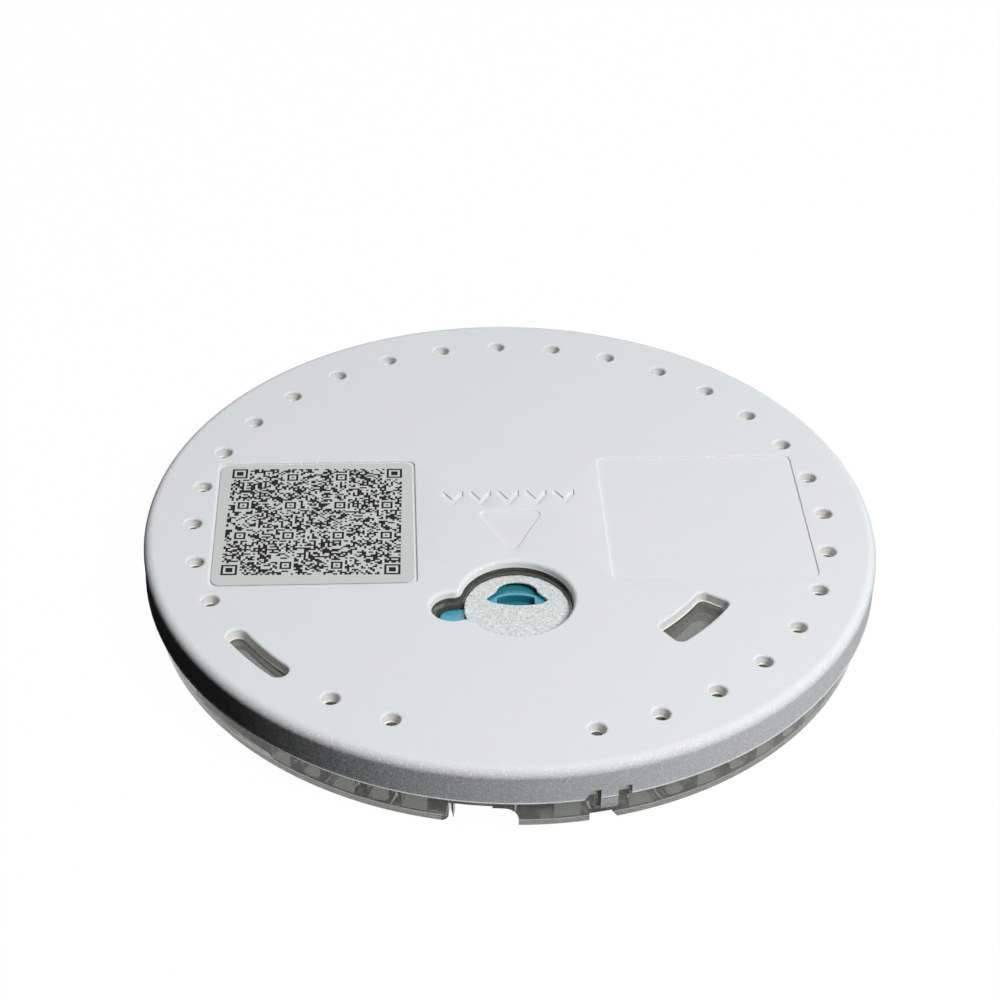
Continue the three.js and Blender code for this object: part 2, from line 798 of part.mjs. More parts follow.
// The round boss that stands below the slab under the capsule.
function capsuleBoss() {
  return lobedRound(slideGap + bossWall, capsuleFloor - bossFloor, slabUnder + overrun / 2);
}

function rotorBase() {
  let base = baseBlank()
    .add(capsuleBoss())
    .subtract(horseshoe(slideGap, capsuleFloor, baseTop + overrun))
    .subtract(sampleWell())
    .subtract(driveSocket())
    .add(spike());
  for (const way of fluidWays()) base = base.subtract(way);
  for (const position of cuvettePositions) {
    base = base.subtract(cuvetteWell(position)).subtract(feed(position));
  }
  for (const position of pocketPositions) base = base.subtract(pocket(position));
  for (const place of pinPlaces) {
    const hole = circle(pinRadius + seatGap, ...place);
    const bottom = baseTop - pinEngagement - seatGap;
    base = base.subtract(prism(hole, bottom, baseTop + overrun, holeSteps));
  }
  return base.subtract(notch()).add(notchFin()).subtract(keyway());
}

// Reagent beads

function reagentBead(position) {
  const ball = new THREE.IcosahedronGeometry(beadRadius, beadDetail);
  const radius = cuvetteOuter - beadSideGap - beadRadius;
  at(ball, radius, 0, cuvetteFloor + beadGap + beadRadius);
  return solid(ball.rotateZ(radians(position * pitch)));
}

function beadMaterial(position) {
  if (yellowPositions.includes(position)) return materials.yellowBead;
  if (rosePositions.includes(position)) return materials.roseBead;
  return materials.paleBead;
}

// Assembly

const disc = new THREE.Group();
disc.add(
  mesh('top_cover', topCover(), materials.cover),
  mesh('code_label', codeLabel(), materials.label),
  mesh('inlet_disc', inletDisc(), materials.frosted),
  mesh('rotor_lid', rotorLid(), materials.clear),
  mesh('rotor_base', rotorBase(), materials.clear),
  mesh('diluent_capsule', diluentCapsule(), materials.blue),
  mesh('capsule_foil', capsuleFoil(), materials.foil),
);
beadPositions.forEach((position, i) => {
  const name = `reagent_bead_${String(i + 1).padStart(2, '0')}`;
  disc.add(mesh(name, reagentBead(position), beadMaterial(position)));
});

export default disc;
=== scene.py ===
"""Single-use reagent disc for a bench blood chemistry analyser.

A pearl white cover over a clear cuvette rotor, with a blue diluent capsule under a frosted inlet
disc. Metres, +Z up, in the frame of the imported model. Angles run from +X towards +Y.
"""

import math

import bpy
from bpy.props import FloatProperty, FloatVectorProperty, IntProperty, PointerProperty
from mathutils import Matrix, Vector


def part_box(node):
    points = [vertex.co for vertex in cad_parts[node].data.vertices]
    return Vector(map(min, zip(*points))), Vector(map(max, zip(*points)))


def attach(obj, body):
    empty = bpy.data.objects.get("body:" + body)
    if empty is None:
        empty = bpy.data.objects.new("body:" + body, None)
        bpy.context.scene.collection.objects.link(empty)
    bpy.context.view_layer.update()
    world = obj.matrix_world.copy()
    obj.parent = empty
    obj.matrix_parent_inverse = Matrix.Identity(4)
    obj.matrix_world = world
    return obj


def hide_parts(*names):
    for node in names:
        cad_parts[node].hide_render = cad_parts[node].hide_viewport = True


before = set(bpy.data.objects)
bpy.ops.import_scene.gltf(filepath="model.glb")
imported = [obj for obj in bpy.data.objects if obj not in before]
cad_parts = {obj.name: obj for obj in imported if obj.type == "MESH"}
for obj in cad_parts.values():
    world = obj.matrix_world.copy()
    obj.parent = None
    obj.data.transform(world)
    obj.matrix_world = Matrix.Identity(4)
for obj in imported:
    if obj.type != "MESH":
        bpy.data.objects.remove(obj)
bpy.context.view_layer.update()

bl_info = {
    "name": "Reagent Disc",
    "version": (1, 0, 0),
    "blender": (4, 5, 0),
    "location": "3D View > Sidebar > Reagent Disc",
    "description": "Builds the cover, rotor, capsule and beads of a single-use reagent disc",
    "category": "Add Mesh",
}

MM = 0.001
TINY = 1e-6

# Faces on round forms
RIM_STEPS = 192
ROUND_STEPS = 96
HOLE_STEPS = 40
ARC_STEPS = 24
LIP_STEPS = 5
CORNER_STEPS = 6

# Sizes from the frame
cover_low, cover_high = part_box("top_cover")
rotor_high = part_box("rotor_base")[1]
lid_low, lid_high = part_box("rotor_lid")
inlet_low, inlet_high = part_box("inlet_disc")
label_low, label_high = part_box("code_label")
capsule_low, capsule_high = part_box("diluent_capsule")
foil_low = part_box("capsule_foil")[0]
bead_low, bead_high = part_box("reagent_bead_01")

DISC_RADIUS = cover_high.x
DISC_TOP = cover_high.z
KEY_BOTTOM = cover_low.z
BASE_RADIUS = rotor_high.x
BASE_TOP = rotor_high.z
ROTOR_RADIUS = lid_high.x
LID_UNDER = lid_low.z
COLLAR_TOP = lid_high.z
INLET_RADIUS = inlet_high.x
INLET_Y = (inlet_low.y + inlet_high.y) / 2
INLET_TOP = inlet_high.z
INLET_UNDER = inlet_low.z
FILM_RADIUS = INLET_RADIUS + 0.08 * MM
FILM_Y = INLET_Y - 0.15 * MM
CAPSULE_RADIUS = capsule_high.x
CAPSULE_UNDER = capsule_low.z
BEAD_RADIUS = (bead_high.x - bead_low.x) / 2
BEAD_PLACE = (bead_high.x + bead_low.x) / 2
BEAD_HEIGHT = (bead_high.z + bead_low.z) / 2

# Ring of positions, counted from +X
POSITIONS = 32
PITCH = 360 / POSITIONS
WITHOUT_CUVETTE = (19, 20, 23, 24)
WITHOUT_BEAD = (22, 25, 26)
YELLOW_POSITIONS = (21, 27, 28, 29)
ROSE_POSITIONS = (0, 2, 7, 31)
CUVETTES = [i for i in range(POSITIONS) if i not in WITHOUT_CUVETTE]
POCKETS = [i for i in range(POSITIONS)
           if i not in WITHOUT_CUVETTE or (i + 1) not in WITHOUT_CUVETTE]
BEADS = [i for i in CUVETTES if i not in WITHOUT_BEAD]
RING_RADIUS = DISC_RADIUS - 5.35 * MM

# Cover
COVER_PLATE = 1.25 * MM
SKIRT_WALL = 1.15 * MM
SKIRT_HEIGHT = 4.2 * MM
SKIRT_EDGE = 0.12 * MM
SKIRT_BEAD = 0.06 * MM
SKIRT_FLAT = 0.06 * MM
FLAT_BAND = 0.1 * MM
FOOT_REACH = 5.5 * MM
SLOT_WIDTH = 2.08 * MM
SLOT_ANGLES = (213.45, 224.85)
VIEW_RADII = (23.4 * MM, 27 * MM)
VIEW_ANGLES = (307.2, 326.1)
VIEW_CORNER = 0.8 * MM
LOBE_OFFSET = 6.78 * MM
LOBE_DROP = 1.12 * MM
LOBE_RADIUS = 2.28 * MM
LOBE_FILLET = 0.9 * MM
INLET_HOLE_RADIUS = 6.02 * MM
INLET_HOLE_Y = INLET_Y + 0.1 * MM
INLET_PLATE = 0.84 * MM
INLET_RELIEF = 0.6 * MM
PANEL_SIZE = 22.3 * MM
PANEL_CORNER = 0.9 * MM
PANEL_LIP = 0.1 * MM
LABEL_PANEL_DEPTH = 0.25 * MM
BARE_PANEL_DEPTH = 0.16 * MM
LABEL_CORNER = 1 * MM
LABEL_EDGE = 0.02 * MM
PANEL_DISTANCE = -(label_low.x + label_high.x) / 2
CODE_CENTRE = (-21.49 * MM, 0.28 * MM)
CODE_TURN = math.radians(1.15)
POINTER_HALF_WIDTH = 3.9 * MM
POINTER_TOP = 1.53 * MM
POINTER_TIP = -6.5 * MM
POINTER_CORNER = 0.8 * MM
POINTER_DEPTH = 0.14 * MM
POINTER_LIP = 0.12 * MM
MARK_COUNT = 5
MARK_PITCH = 3.1 * MM
MARK_WIDTH = 2.4 * MM
MARK_TOP = 5.5 * MM
MARK_DROP = 1.9 * MM
MARK_STROKE = 1.3 * MM
MARK_CORNER = 0.12 * MM
MARK_DEPTH = 0.2 * MM
MARK_LIP = 0.06 * MM
GATE_PLACE = (-0.29 * MM, -0.62 * MM)
GATE_RADIUS = 0.34 * MM
GATE_DEPTH = 0.07 * MM
GATE_LIP = 0.05 * MM
KEY_ANGLES = (279.9, 282.4)
KEY_CUT_ANGLES = (278.05, 284.4)
KEY_CUT_RISE = 1.1 * MM
KEY_FOOT = 0.6 * MM
KEY_EDGE = 0.15 * MM
PIN_RADIUS = 0.9 * MM
PIN_DISTANCE = 28.2 * MM
PIN_ANGLES = (30, 150, 270)
PIN_REACH = 2 * MM
COVER_UNDER = DISC_TOP - COVER_PLATE
SKIRT_BOTTOM = DISC_TOP - SKIRT_HEIGHT
SKIRT_RADIUS = DISC_RADIUS - SKIRT_WALL
WALL_RADIUS = DISC_RADIUS - SKIRT_BEAD
# Painted warm bounce light on the walls inside the openings: how far below the top and inside the
# skirt it starts
PAINTED_BOUNCE_DEPTH = 0.4 * MM
PAINTED_BOUNCE_MARGIN = 0.5 * MM
OVERRUN = 1 * MM

# Rotor lid
LID_PLATE = 1.1 * MM
COLLAR_WALL = 0.26 * MM
COLLAR_EDGE = 0.08 * MM
RISE_WALL = 0.02 * MM
INLET_GAP = 0.05 * MM
PORT_LEDGE = 0.55 * MM
FIT_GAP = 0.3 * MM
SEAT_GAP = 0.2 * MM

# Rotor base
FLANGE_TOP = SKIRT_BOTTOM - SEAT_GAP
SLAB_UNDER = 1.2 * MM
FOOT_WIDTH = 1 * MM
OPTICS_RECESS = 0.1 * MM
CUVETTE_OUTER = ROTOR_RADIUS - 0.6 * MM
CUVETTE_LENGTH = 4.6 * MM
CUVETTE_WIDTH = 2.3 * MM
CUVETTE_CORNER = 0.85 * MM
CUVETTE_FLOOR = 0.45 * MM
POCKET_WIDTH = 2.6 * MM
POCKET_LENGTH = 2.6 * MM
POCKET_FLOOR = 0.3 * MM
POCKET_CORNER = 0.18 * MM
LONG_WELL_FLOOR = 2 * MM
FEED_WIDTH = 0.5 * MM
FEED_DEPTH = 0.4 * MM
CHANNEL_WIDTH = 1 * MM
CHANNEL_DEPTH = 0.9 * MM
CHAMBER_DEPTH = 2.4 * MM
CHAMBER_CORNER = 1.1 * MM
CHAMBER_MARGIN = 0.6 * MM
CUVETTE_INNER = CUVETTE_OUTER - CUVETTE_LENGTH
CHANNEL_RADIUS = CUVETTE_INNER - 2.7 * MM
METERING_ANGLES = (238, 264)
MIXING_RADII = (13 * MM, 25.5 * MM)
MIXING_ANGLES = (62, 118)
TRANSFER_RADIUS = 19 * MM
TRANSFER_ANGLES = (118, 212)
NOTCH_ANGLES = (258.45, 268.5)
NOTCH_STEP_ANGLE = 264.7
NOTCH_DEPTH = 4.6 * MM
NOTCH_RISE = 2.25 * MM
NOTCH_STEP_RISE = 0.25 * MM
NOTCH_CORNER = 1.5 * MM
NOTCH_FOOT = 0.9 * MM
FIN_WIDTH = 0.22 * MM
FIN_ANGLE = 258.95
FIN_REACH = 2.05 * MM
FIN_DEPTH = 1.2 * MM
FIN_INSET = 0.1 * MM
FIN_SLANT = 0.4
KEYWAY_MARGIN = 0.35  # degrees
RELIEF_ANGLES = (278.7, 282.9)
RELIEF_RISE = 1 * MM
RELIEF_RUN = 0.67 * MM
RELIEF_DEPTH = 1 * MM
SOCKET_RADIUS = 3.2 * MM
HUB_WALL = 1.5 * MM
HUB_ROOF = 1.1 * MM
HUB_LIFT = 0.3 * MM
DRIVE_SLOT_WIDTH = 1.2 * MM
DRIVE_SLOT_DEPTH = 0.8 * MM
DRIVE_SLOTS = 3
DRIVE_SLOT_DROP = 0.1 * MM

# Diluent capsule and its well
CAPSULE_WALL = 0.7 * MM
CAPSULE_TOP = LID_UNDER - SEAT_GAP
CAPSULE_EDGE = 0.3 * MM
CAPSULE_FLOOR = 0.95 * MM
SLIDE_GAP = 0.25 * MM
BOSS_WALL = 1 * MM
BOSS_FLOOR = 0.75 * MM
BOSS_LOBE_LIFT = 0.01 * MM
BAY_HALF_WIDTH = 1.9 * MM
BAY_TOP = 1.55 * MM
PAD_RADIUS = 1.45 * MM
PAD_TOP = capsule_high.z
PAD_LENGTH = 2.6 * MM
PAD_EDGE = 0.2 * MM
SAMPLE_WELL_WALL = 0.7 * MM
SAMPLE_WELL_FLOOR = 1.1 * MM
SAMPLE_WELL_TOP = 0.7 * MM
SAMPLE_WELL_REACH = 7.2 * MM
SPIKE_RADIUS = 1 * MM
SPIKE_TIP_RADIUS = 0.15 * MM
SPIKE_OFFSET = 4.4 * MM
SPIKE_TIP = foil_low.z - 0.15 * MM

# Sample port in the inlet disc, measured from the inlet's middle
DOME_HALF_WIDTH = 2.15 * MM
DOME_HEIGHT = 1.55 * MM
DOME_BASE = 2.7 * MM
BRIM_HALF_WIDTH = 3.35 * MM
BRIM_LINE = 1.35 * MM
BRIM_FOOT = (2.65 * MM, 0.75 * MM)
BRIM_SAG = 0.4 * MM
PORT_TURN = -3.7

# Step with an arched back on the capsule, under the port
STEP_HALF_WIDTH = 3.3 * MM
STEP_FRONT = 0.8 * MM
STEP_SIDE = 1.75 * MM
STEP_ARCH = 3.05 * MM
STEP_EDGE = 0.12 * MM
STEP_WALL = 0.4 * MM
RECESS_HALF_WIDTH = 2 * MM
SHELF_TOP = PAD_TOP - 0.2 * MM
SHELF_EDGE = 0.1 * MM

# Camera, from the ring of windows in the photograph
CAMERA_DISTANCE = 238.1 * MM
CAMERA_ELEVATION = 37.25
CAMERA_ANGLE = 266.32
CAMERA_ROLL = 1.304
IMAGE_PIXELS = 1000
CENTRE_PIXEL = (510.39, 518.01)
FOCAL_PIXELS = 2168.96
SENSOR_WIDTH = 36

# Lamps: name, bearing and height in degrees, distance and size in metres
KEY_LAMP = ("key softbox", 317, 50, 0.6, 0.2)
TOP_LAMP = ("top softbox", 330, 82, 0.6, 0.3)
BACK_LAMP = ("back softbox", 100, 35, 0.7, 0.4)

# Floor, with a gap of air under the clear foot, so that the foot mirrors the rotor's inside
FLOOR_RADIUS = 3
FLOOR_GAP = 0.03 * MM

# Light that the floor and the room send on to the object, as a share of white
PAPER_SHARES = (0.012, 0.013)
PAPER_GLOW = 0.99
ROOM_LIGHT = 0.004

# Refraction of acrylic and of polypropylene
CLEAR_IOR = 1.49


def srgb(code):
    """An sRGB hex value as linear red, green and blue."""
    values = [int(code[i:i + 2], 16) / 255 for i in (0, 2, 4)]
    return [v / 12.92 if v <= 0.04045 else ((v + 0.055) / 1.055) ** 2.4 for v in values]


def colour(name, description, code):
    return FloatVectorProperty(
        name=name, description=description, subtype="COLOR", size=3, min=0, max=1,
        default=srgb(code))


def length(name, description, value):
    return FloatProperty(
        name=name, description=description, unit="LENGTH", min=0, default=value)


class CoverSettings(bpy.types.PropertyGroup):
    rim_round: length("Rim round", "Radius of the cover's rounded rim", 1.05 * MM)
    window_radius: length("Window radius", "Radius of the round windows", 0.88 * MM)
    lip_round: length("Lip round", "Rounding of the lips of the openings", 0.28 * MM)
    inlet_round: length("Inlet round", "Rounding of the inlet's lip", 0.45 * MM)
    flash: length("Flash", "Width of the moulding edge at the foot of an opening", 0.09 * MM)
    flake_size: length("Flake size", "Size of the pearl pigment's flakes", 0.1 * MM)
    base: colour("Colour", "Pearl white of the cover", "E3E6E9")
    # Painted warm bounce light: the lighter, warmer colour of the walls deep inside the openings
    wall: colour("Wall colour", "Tint inside the openings", "F1EFEB")


class LabelSettings(bpy.types.PropertyGroup):
    module: length("Module", "Size of one printed module", 0.2475 * MM)
    modules: IntProperty(name="Modules", description="Modules on a side", default=77, min=65)
    film: colour("Film", "Colour of the label film", "CDD0CE")
    ink: colour("Ink", "Colour of the printing ink", "0B0B0D")


class RotorSettings(bpy.types.PropertyGroup):
    roughness: FloatProperty(
        name="Roughness", description="Roughness of the clear plastic", subtype="FACTOR",
        min=0, max=1, default=0.06)
    haze: FloatProperty(
        name="Haze", description="Share of light that the clear plastic scatters",
        subtype="FACTOR", min=0, max=1, default=0.17)
    # Faint green of the acrylic, greyed down as painted shade
    tint: colour("Tint", "Tint of the clear plastic", "B9BBB5")


class InletSettings(bpy.types.PropertyGroup):
    grain: length("Grain", "Size of the frosted film's grains", 0.13 * MM)
    film: colour("Film", "Colour of the frosted film", "DDE2E2")
    blue: colour("Capsule", "Colour of the diluent capsule", "3AAAC2")


class BeadSettings(bpy.types.PropertyGroup):
    roughness: length("Roughness", "Height of the lumps on a bead", 0.05 * MM)
    pale: colour("Pale", "Colour of most beads", "E9E4D4")
    yellow: colour("Yellow", "Colour of the yellow beads", "E0C62A")
    rose: colour("Rose", "Colour of the rose beads", "C98F8C")


class StageSettings(bpy.types.PropertyGroup):
    floor: colour("Floor", "Colour of the floor and backdrop", "F4F4F4")
    key_power: FloatProperty(
        name="Key light", description="Power of the key light", unit="POWER", default=3.05)
    top_power: FloatProperty(
        name="Top light", description="Power of the light above", unit="POWER", default=0.8)
    fill_power: FloatProperty(
        name="Fill light", description="Power of the light behind", unit="POWER", default=0.5)


# Drawing in edit mode

def polar(radius, degrees, y=0):
    angle = math.radians(degrees)
    return Vector((radius * math.cos(angle), radius * math.sin(angle) + y))


class Pen:
    """Draws an outline in edit mode by extruding and spinning its last point."""

    def __init__(self, name, start, height=None):
        self.height = height
        self.axis = (0, -1, 0) if height is None else (0, 0, 1)
        self.spot = Vector(start)
        bpy.ops.object.select_all(action="DESELECT")
        bpy.ops.mesh.primitive_plane_add(size=MM, location=self.place(self.spot))
        self.object = bpy.context.object
        self.object.name = name
        bpy.ops.object.mode_set(mode="EDIT")
        bpy.ops.mesh.select_mode(type="VERT")
        bpy.ops.mesh.merge(type="CENTER")

    def place(self, spot):
        """A point of the drawing in space: in plan at a height, or radius and height."""
        if self.height is None:
            return Vector((spot[0], 0, spot[1]))
        return Vector((spot[0], spot[1], self.height))

    def line(self, *spot):
        step = self.place(spot) - self.place(self.spot)
        if step.length > TINY:
            bpy.ops.mesh.extrude_region_move(TRANSFORM_OT_translate={"value": step})
            self.spot = Vector(spot)

    def arc(self, centre, degrees, steps=CORNER_STEPS):
        """Turns the last point about a centre, anticlockwise where degrees is above zero."""
        bpy.ops.mesh.spin(steps=steps, angle=-math.radians(degrees),
                          center=self.place(centre), axis=self.axis)
        turn = Matrix.Rotation(math.radians(degrees), 2)
        self.spot = Vector(centre) + turn @ (self.spot - Vector(centre))

    def fill(self):
        """Closes the outline as a face, and leaves it selected."""
        merge_doubles()
        bpy.ops.mesh.edge_face_add()

    def revolve(self, steps=RIM_STEPS):
        """Turns the outline about Z and closes its seam and poles."""
        bpy.ops.mesh.select_all(action="SELECT")
        bpy.ops.mesh.spin(steps=steps, angle=2 * math.pi, center=(0, 0, 0), axis=(0, 0, 1))
        merge_doubles()
        return leave_edit()


def merge_doubles():
    bpy.ops.mesh.select_all(action="SELECT")
    bpy.ops.mesh.remove_doubles(threshold=TINY)


def leave_edit():
    """Turns the normals outward, leaves edit mode and moves the place into the mesh."""
    bpy.ops.mesh.select_all(action="SELECT")
    bpy.ops.mesh.normals_make_consistent(inside=False)
    bpy.ops.object.mode_set(mode="OBJECT")
    bpy.ops.object.transform_apply(location=True, rotation=True, scale=True)
    return bpy.context.object


def sink(steps):
    """Extends the selected face downward in steps of an inset and a drop."""
    for inset, drop in steps:
        if inset > TINY:
            bpy.ops.mesh.inset(thickness=inset)
            bpy.ops.transform.translate(value=(0, 0, -drop))
        else:
            bpy.ops.mesh.extrude_region_move(TRANSFORM_OT_translate={"value": (0, 0, -drop)})


def lip(radius, count=LIP_STEPS):
    """Steps of a rounded lip that runs from a flat face into a wall."""
    angles = [math.radians(90 * i / count) for i in range(count + 1)]
    pairs = zip(angles, angles[1:])
    return [(radius * (math.sin(b) - math.sin(a)), radius * (math.cos(a) - math.cos(b)))
            for a, b in pairs]


def run_inward(pen, outer, depth, degrees):
    """A profile of width and height, run inward from a radius and turned to its angle."""
    pen.fill()
    bpy.ops.mesh.extrude_region_move(TRANSFORM_OT_translate={"value": (0, depth, 0)})
    solid = leave_edit()
    solid.data.transform(Matrix.Rotation(math.radians(degrees - 270), 4, "Z")
                         @ Matrix.Translation((0, -outer, 0)))
    return solid


def foot_cutter(outer, bottom, radius, degrees):
    """A cutter that rounds the lower corner of a wall that ends at an angle."""
    pen = Pen("foot", (-radius, bottom - OVERRUN))
    pen.line(radius, bottom - OVERRUN)
    pen.line(radius, bottom + radius)
    pen.line(0, bottom + radius)
    pen.arc((-radius, bottom + radius), -90)
    pen.line(-radius, bottom - OVERRUN)
    return run_inward(pen, outer + OVERRUN, FOOT_REACH + OVERRUN, degrees)


def prism(pen, drop):
    """The pen's outline as a straight solid below its height."""
    pen.fill()
    sink([(0, drop)])
    return leave_edit()


# Plan outlines

def draw_polygon(name, height, corners, radius):
    """A polygon with rounded corners, given anticlockwise."""
    corners = [Vector(c) for c in corners]
    count = len(corners)
    turns = []
    for i, corner in enumerate(corners):
        arrive = (corner - corners[i - 1]).normalized()
        leave = (corners[(i + 1) % count] - corner).normalized()
        turn = math.degrees(math.atan2(arrive.cross(leave), arrive.dot(leave)))
        reach = radius * math.tan(math.radians(abs(turn)) / 2)
        side = Vector((-arrive.y, arrive.x)) * math.copysign(radius, turn)
        turns.append((corner - arrive * reach, corner - arrive * reach + side, turn))
    pen = Pen(name, turns[0][0], height)
    for start, centre, turn in turns:
        pen.line(*start)
        pen.arc(centre, turn)
    pen.line(*turns[0][0])
    return pen


def draw_rectangle(name, height, width, depth, radius, x=0, y=0):
    w, d = width / 2, depth / 2
    corners = [(x - w, y - d), (x + w, y - d), (x + w, y + d), (x - w, y + d)]
    return draw_polygon(name, height, corners, radius)


def draw_circle(name, height, radius, x=0, y=0, steps=HOLE_STEPS):
    pen = Pen(name, (x + radius, y), height)
    pen.arc((x, y), 360, steps)
    return pen


def draw_ring_slot(name, height, radius, width, start, end, grow=0, steps=ARC_STEPS):
    """A slot of even width along the ring, with round ends."""
    half = width / 2 + grow
    pen = Pen(name, polar(radius + half, start), height)
    pen.arc((0, 0), end - start, steps)
    pen.arc(polar(radius, end), 180, HOLE_STEPS // 2)
    pen.arc((0, 0), start - end, steps)
    pen.arc(polar(radius, start), 180, HOLE_STEPS // 2)
    return pen


def draw_sector(name, height, inner, outer, start, end, corner=0.0, steps=ARC_STEPS):
    """A stretch of ring with rounded corners."""
    if corner < TINY:
        pen = Pen(name, polar(inner, start), height)
        pen.line(*polar(outer, start))
        pen.arc((0, 0), end - start, steps)
        pen.line(*polar(inner, end))
        pen.arc((0, 0), start - end, steps)
        return pen
    out_turn = math.degrees(math.asin(corner / (outer - corner)))
    in_turn = math.degrees(math.asin(corner / (inner + corner)))
    near = math.sqrt((inner + corner) ** 2 - corner ** 2)
    far = math.sqrt((outer - corner) ** 2 - corner ** 2)
    pen = Pen(name, polar(near, start), height)
    pen.line(*polar(far, start))
    pen.arc(polar(outer - corner, start + out_turn), 90 + out_turn)
    pen.arc((0, 0), end - start - 2 * out_turn, steps)
    pen.arc(polar(outer - corner, end - out_turn), 90 + out_turn)
    pen.line(*polar(near, end))
    pen.arc(polar(inner + corner, end - in_turn), 90 - in_turn)
    pen.arc((0, 0), start - end + 2 * in_turn, steps)
    pen.arc(polar(inner + corner, start + in_turn), 90 - in_turn)
    return pen


def draw_inlet(name, height, grow):
    """The round inlet and its side lobe, with a fillet in each neck."""
    big, small, fillet = INLET_HOLE_RADIUS + grow, LOBE_RADIUS + grow, LOBE_FILLET - grow
    middle = Vector((0, INLET_HOLE_Y))
    lobe = Vector((-LOBE_OFFSET, INLET_Y - LOBE_DROP))
    span = (lobe - middle).length
    toward = math.degrees(math.atan2(lobe.y - middle.y, lobe.x)) % 360
    to_big, to_small = big + fillet, small + fillet
    swing = math.degrees(math.acos(
        (span ** 2 + to_big ** 2 - to_small ** 2) / (2 * span * to_big)))
    first = middle + polar(to_big, toward + swing)
    last = middle + polar(to_big, toward - swing)

    def bearing(centre, neck):
        return math.degrees(math.atan2(neck.y - centre.y, neck.x - centre.x)) % 360

    neck_turn = (bearing(lobe, last) - (toward - swing)) % 360
    pen = Pen(name, middle + polar(big, toward + swing), height)
    pen.arc(middle, 360 - 2 * swing, ROUND_STEPS)
    pen.arc(last, neck_turn - 360 if neck_turn > 180 else neck_turn, CORNER_STEPS)
    pen.arc(lobe, (bearing(lobe, first) - bearing(lobe, last)) % 360, ARC_STEPS)
    back_turn = (toward + swing - bearing(lobe, first)) % 360
    pen.arc(first, back_turn - 360 if back_turn > 180 else back_turn, CORNER_STEPS)
    return pen


def draw_port(name, height, grow=0.0):
    """The hat-shaped sample port: a dome over a brim with a curved lower edge."""
    foot, low = BRIM_FOOT[0] + grow, BRIM_FOOT[1] - grow
    tip = Vector((BRIM_HALF_WIDTH + grow, BRIM_LINE))
    spots = []
    for i in range(ARC_STEPS + 1):
        share = 2 * i / ARC_STEPS - 1
        spots.append(Vector((foot * share, low - BRIM_SAG * (1 - share ** 2))))
    spots.append(tip)
    for i in range(ARC_STEPS + 1):
        angle = math.pi * i / ARC_STEPS
        spots.append(Vector(((DOME_HALF_WIDTH + grow) * math.cos(angle),
                             DOME_BASE + (DOME_HEIGHT + grow) * math.sin(angle))))
    spots.append(Vector((-tip.x, tip.y)))
    turn = Matrix.Rotation(math.radians(PORT_TURN), 2)
    spots = [turn @ spot + Vector((0, INLET_Y)) for spot in spots]
    pen = Pen(name, spots[0], height)
    for spot in spots[1:]:
        pen.line(*spot)
    pen.line(*spots[0])
    return pen


# Solids and booleans

def add_cylinder(name, radius, bottom, top, x=0, y=0, steps=ROUND_STEPS, edge=0.0):
    """A cylinder, with its top edge rounded where an edge radius is given."""
    bpy.ops.object.select_all(action="DESELECT")
    bpy.ops.mesh.primitive_cylinder_add(
        vertices=steps, radius=radius, depth=top - bottom, location=(x, y, (top + bottom) / 2))
    obj = bpy.context.object
    obj.name = name
    bpy.ops.object.transform_apply(location=True, rotation=True, scale=True)
    if edge > 0:
        bevel_edges(obj, lambda a, b: min(a.z, b.z) > top - TINY, edge)
    return obj


def add_box(name, size, centre):
    bpy.ops.object.select_all(action="DESELECT")
    bpy.ops.mesh.primitive_cube_add(size=1, location=centre, scale=size)
    obj = bpy.context.object
    obj.name = name
    bpy.ops.object.transform_apply(location=True, rotation=True, scale=True)
    return obj


def select_edges(obj, test):
    """Selects the edges in edit mode whose two end points pass a test."""
    bpy.ops.mesh.select_all(action="DESELECT")
    bpy.ops.mesh.select_mode(type="EDGE")
    bpy.ops.object.mode_set(mode="OBJECT")
    points = obj.data.vertices
    for edge in obj.data.edges:
        edge.select = test(*[points[i].co for i in edge.vertices])
    bpy.ops.object.mode_set(mode="EDIT")


def pick(*objects):
    """Selects only these, and makes the first the active one."""
    bpy.ops.object.select_all(action="DESELECT")
    for obj in objects:
        obj.select_set(True)
    bpy.context.view_layer.objects.active = objects[0]


def bevel_edges(obj, test, radius, count=CORNER_STEPS // 2):
    """Rounds the edges of the active piece whose two end points pass a test."""
    bpy.ops.object.mode_set(mode="EDIT")
    select_edges(obj, test)
    bpy.ops.mesh.bevel(offset=radius, segments=count)
    return leave_edit()


def modify(obj, kind, **settings):
    """Adds a modifier to a piece and applies it."""
    pick(obj)
    modifier = obj.modifiers.new(kind, kind)
    for key, value in settings.items():
        setattr(modifier, key, value)
    bpy.ops.object.modifier_apply(modifier=modifier.name)
    return obj


def boolean(obj, other, operation):
    modify(obj, "BOOLEAN", operation=operation, object=other, solver="EXACT")
    bpy.data.objects.remove(other)
    if not obj.data.polygons:
        raise RuntimeError(f"the {operation.lower()} left nothing of {obj.name}")
    return obj


def cut(obj, *others):
    for other in others:
        boolean(obj, other, "DIFFERENCE")
    return obj


def unite(obj, *others):
    for other in others:
        boolean(obj, other, "UNION")
    return obj


def joined(name, objects):
    pick(*objects)
    bpy.ops.object.join()
    objects[0].name = name
    return objects[0]


def repeated(name, obj, angles):
    """Copies of a solid turned about the disc's axis, joined as one."""
    copies = []
    for degrees in angles:
        copy = obj.copy()
        copy.data = obj.data.copy()
        copy.data.transform(Matrix.Rotation(math.radians(degrees), 4, "Z"))
        bpy.context.scene.collection.objects.link(copy)
        copies.append(copy)
    bpy.data.objects.remove(obj)
    return joined(name, copies)


def smooth(obj, degrees=32):
    """Smooth shading on round faces, with flat faces kept flat."""
    pick(obj)
    bpy.ops.object.shade_smooth_by_angle(angle=math.radians(degrees))
    modify(obj, "WEIGHTED_NORMAL", keep_sharp=True, weight=90)
    return obj


def finish_piece(obj, material, body, slot, *nodes):
    """Gives a piece its material and its body, and hides the nodes that it stands for."""
    obj.data.materials.clear()
    obj.data.materials.append(material)
    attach(obj, body)
    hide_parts(*nodes)


# Materials

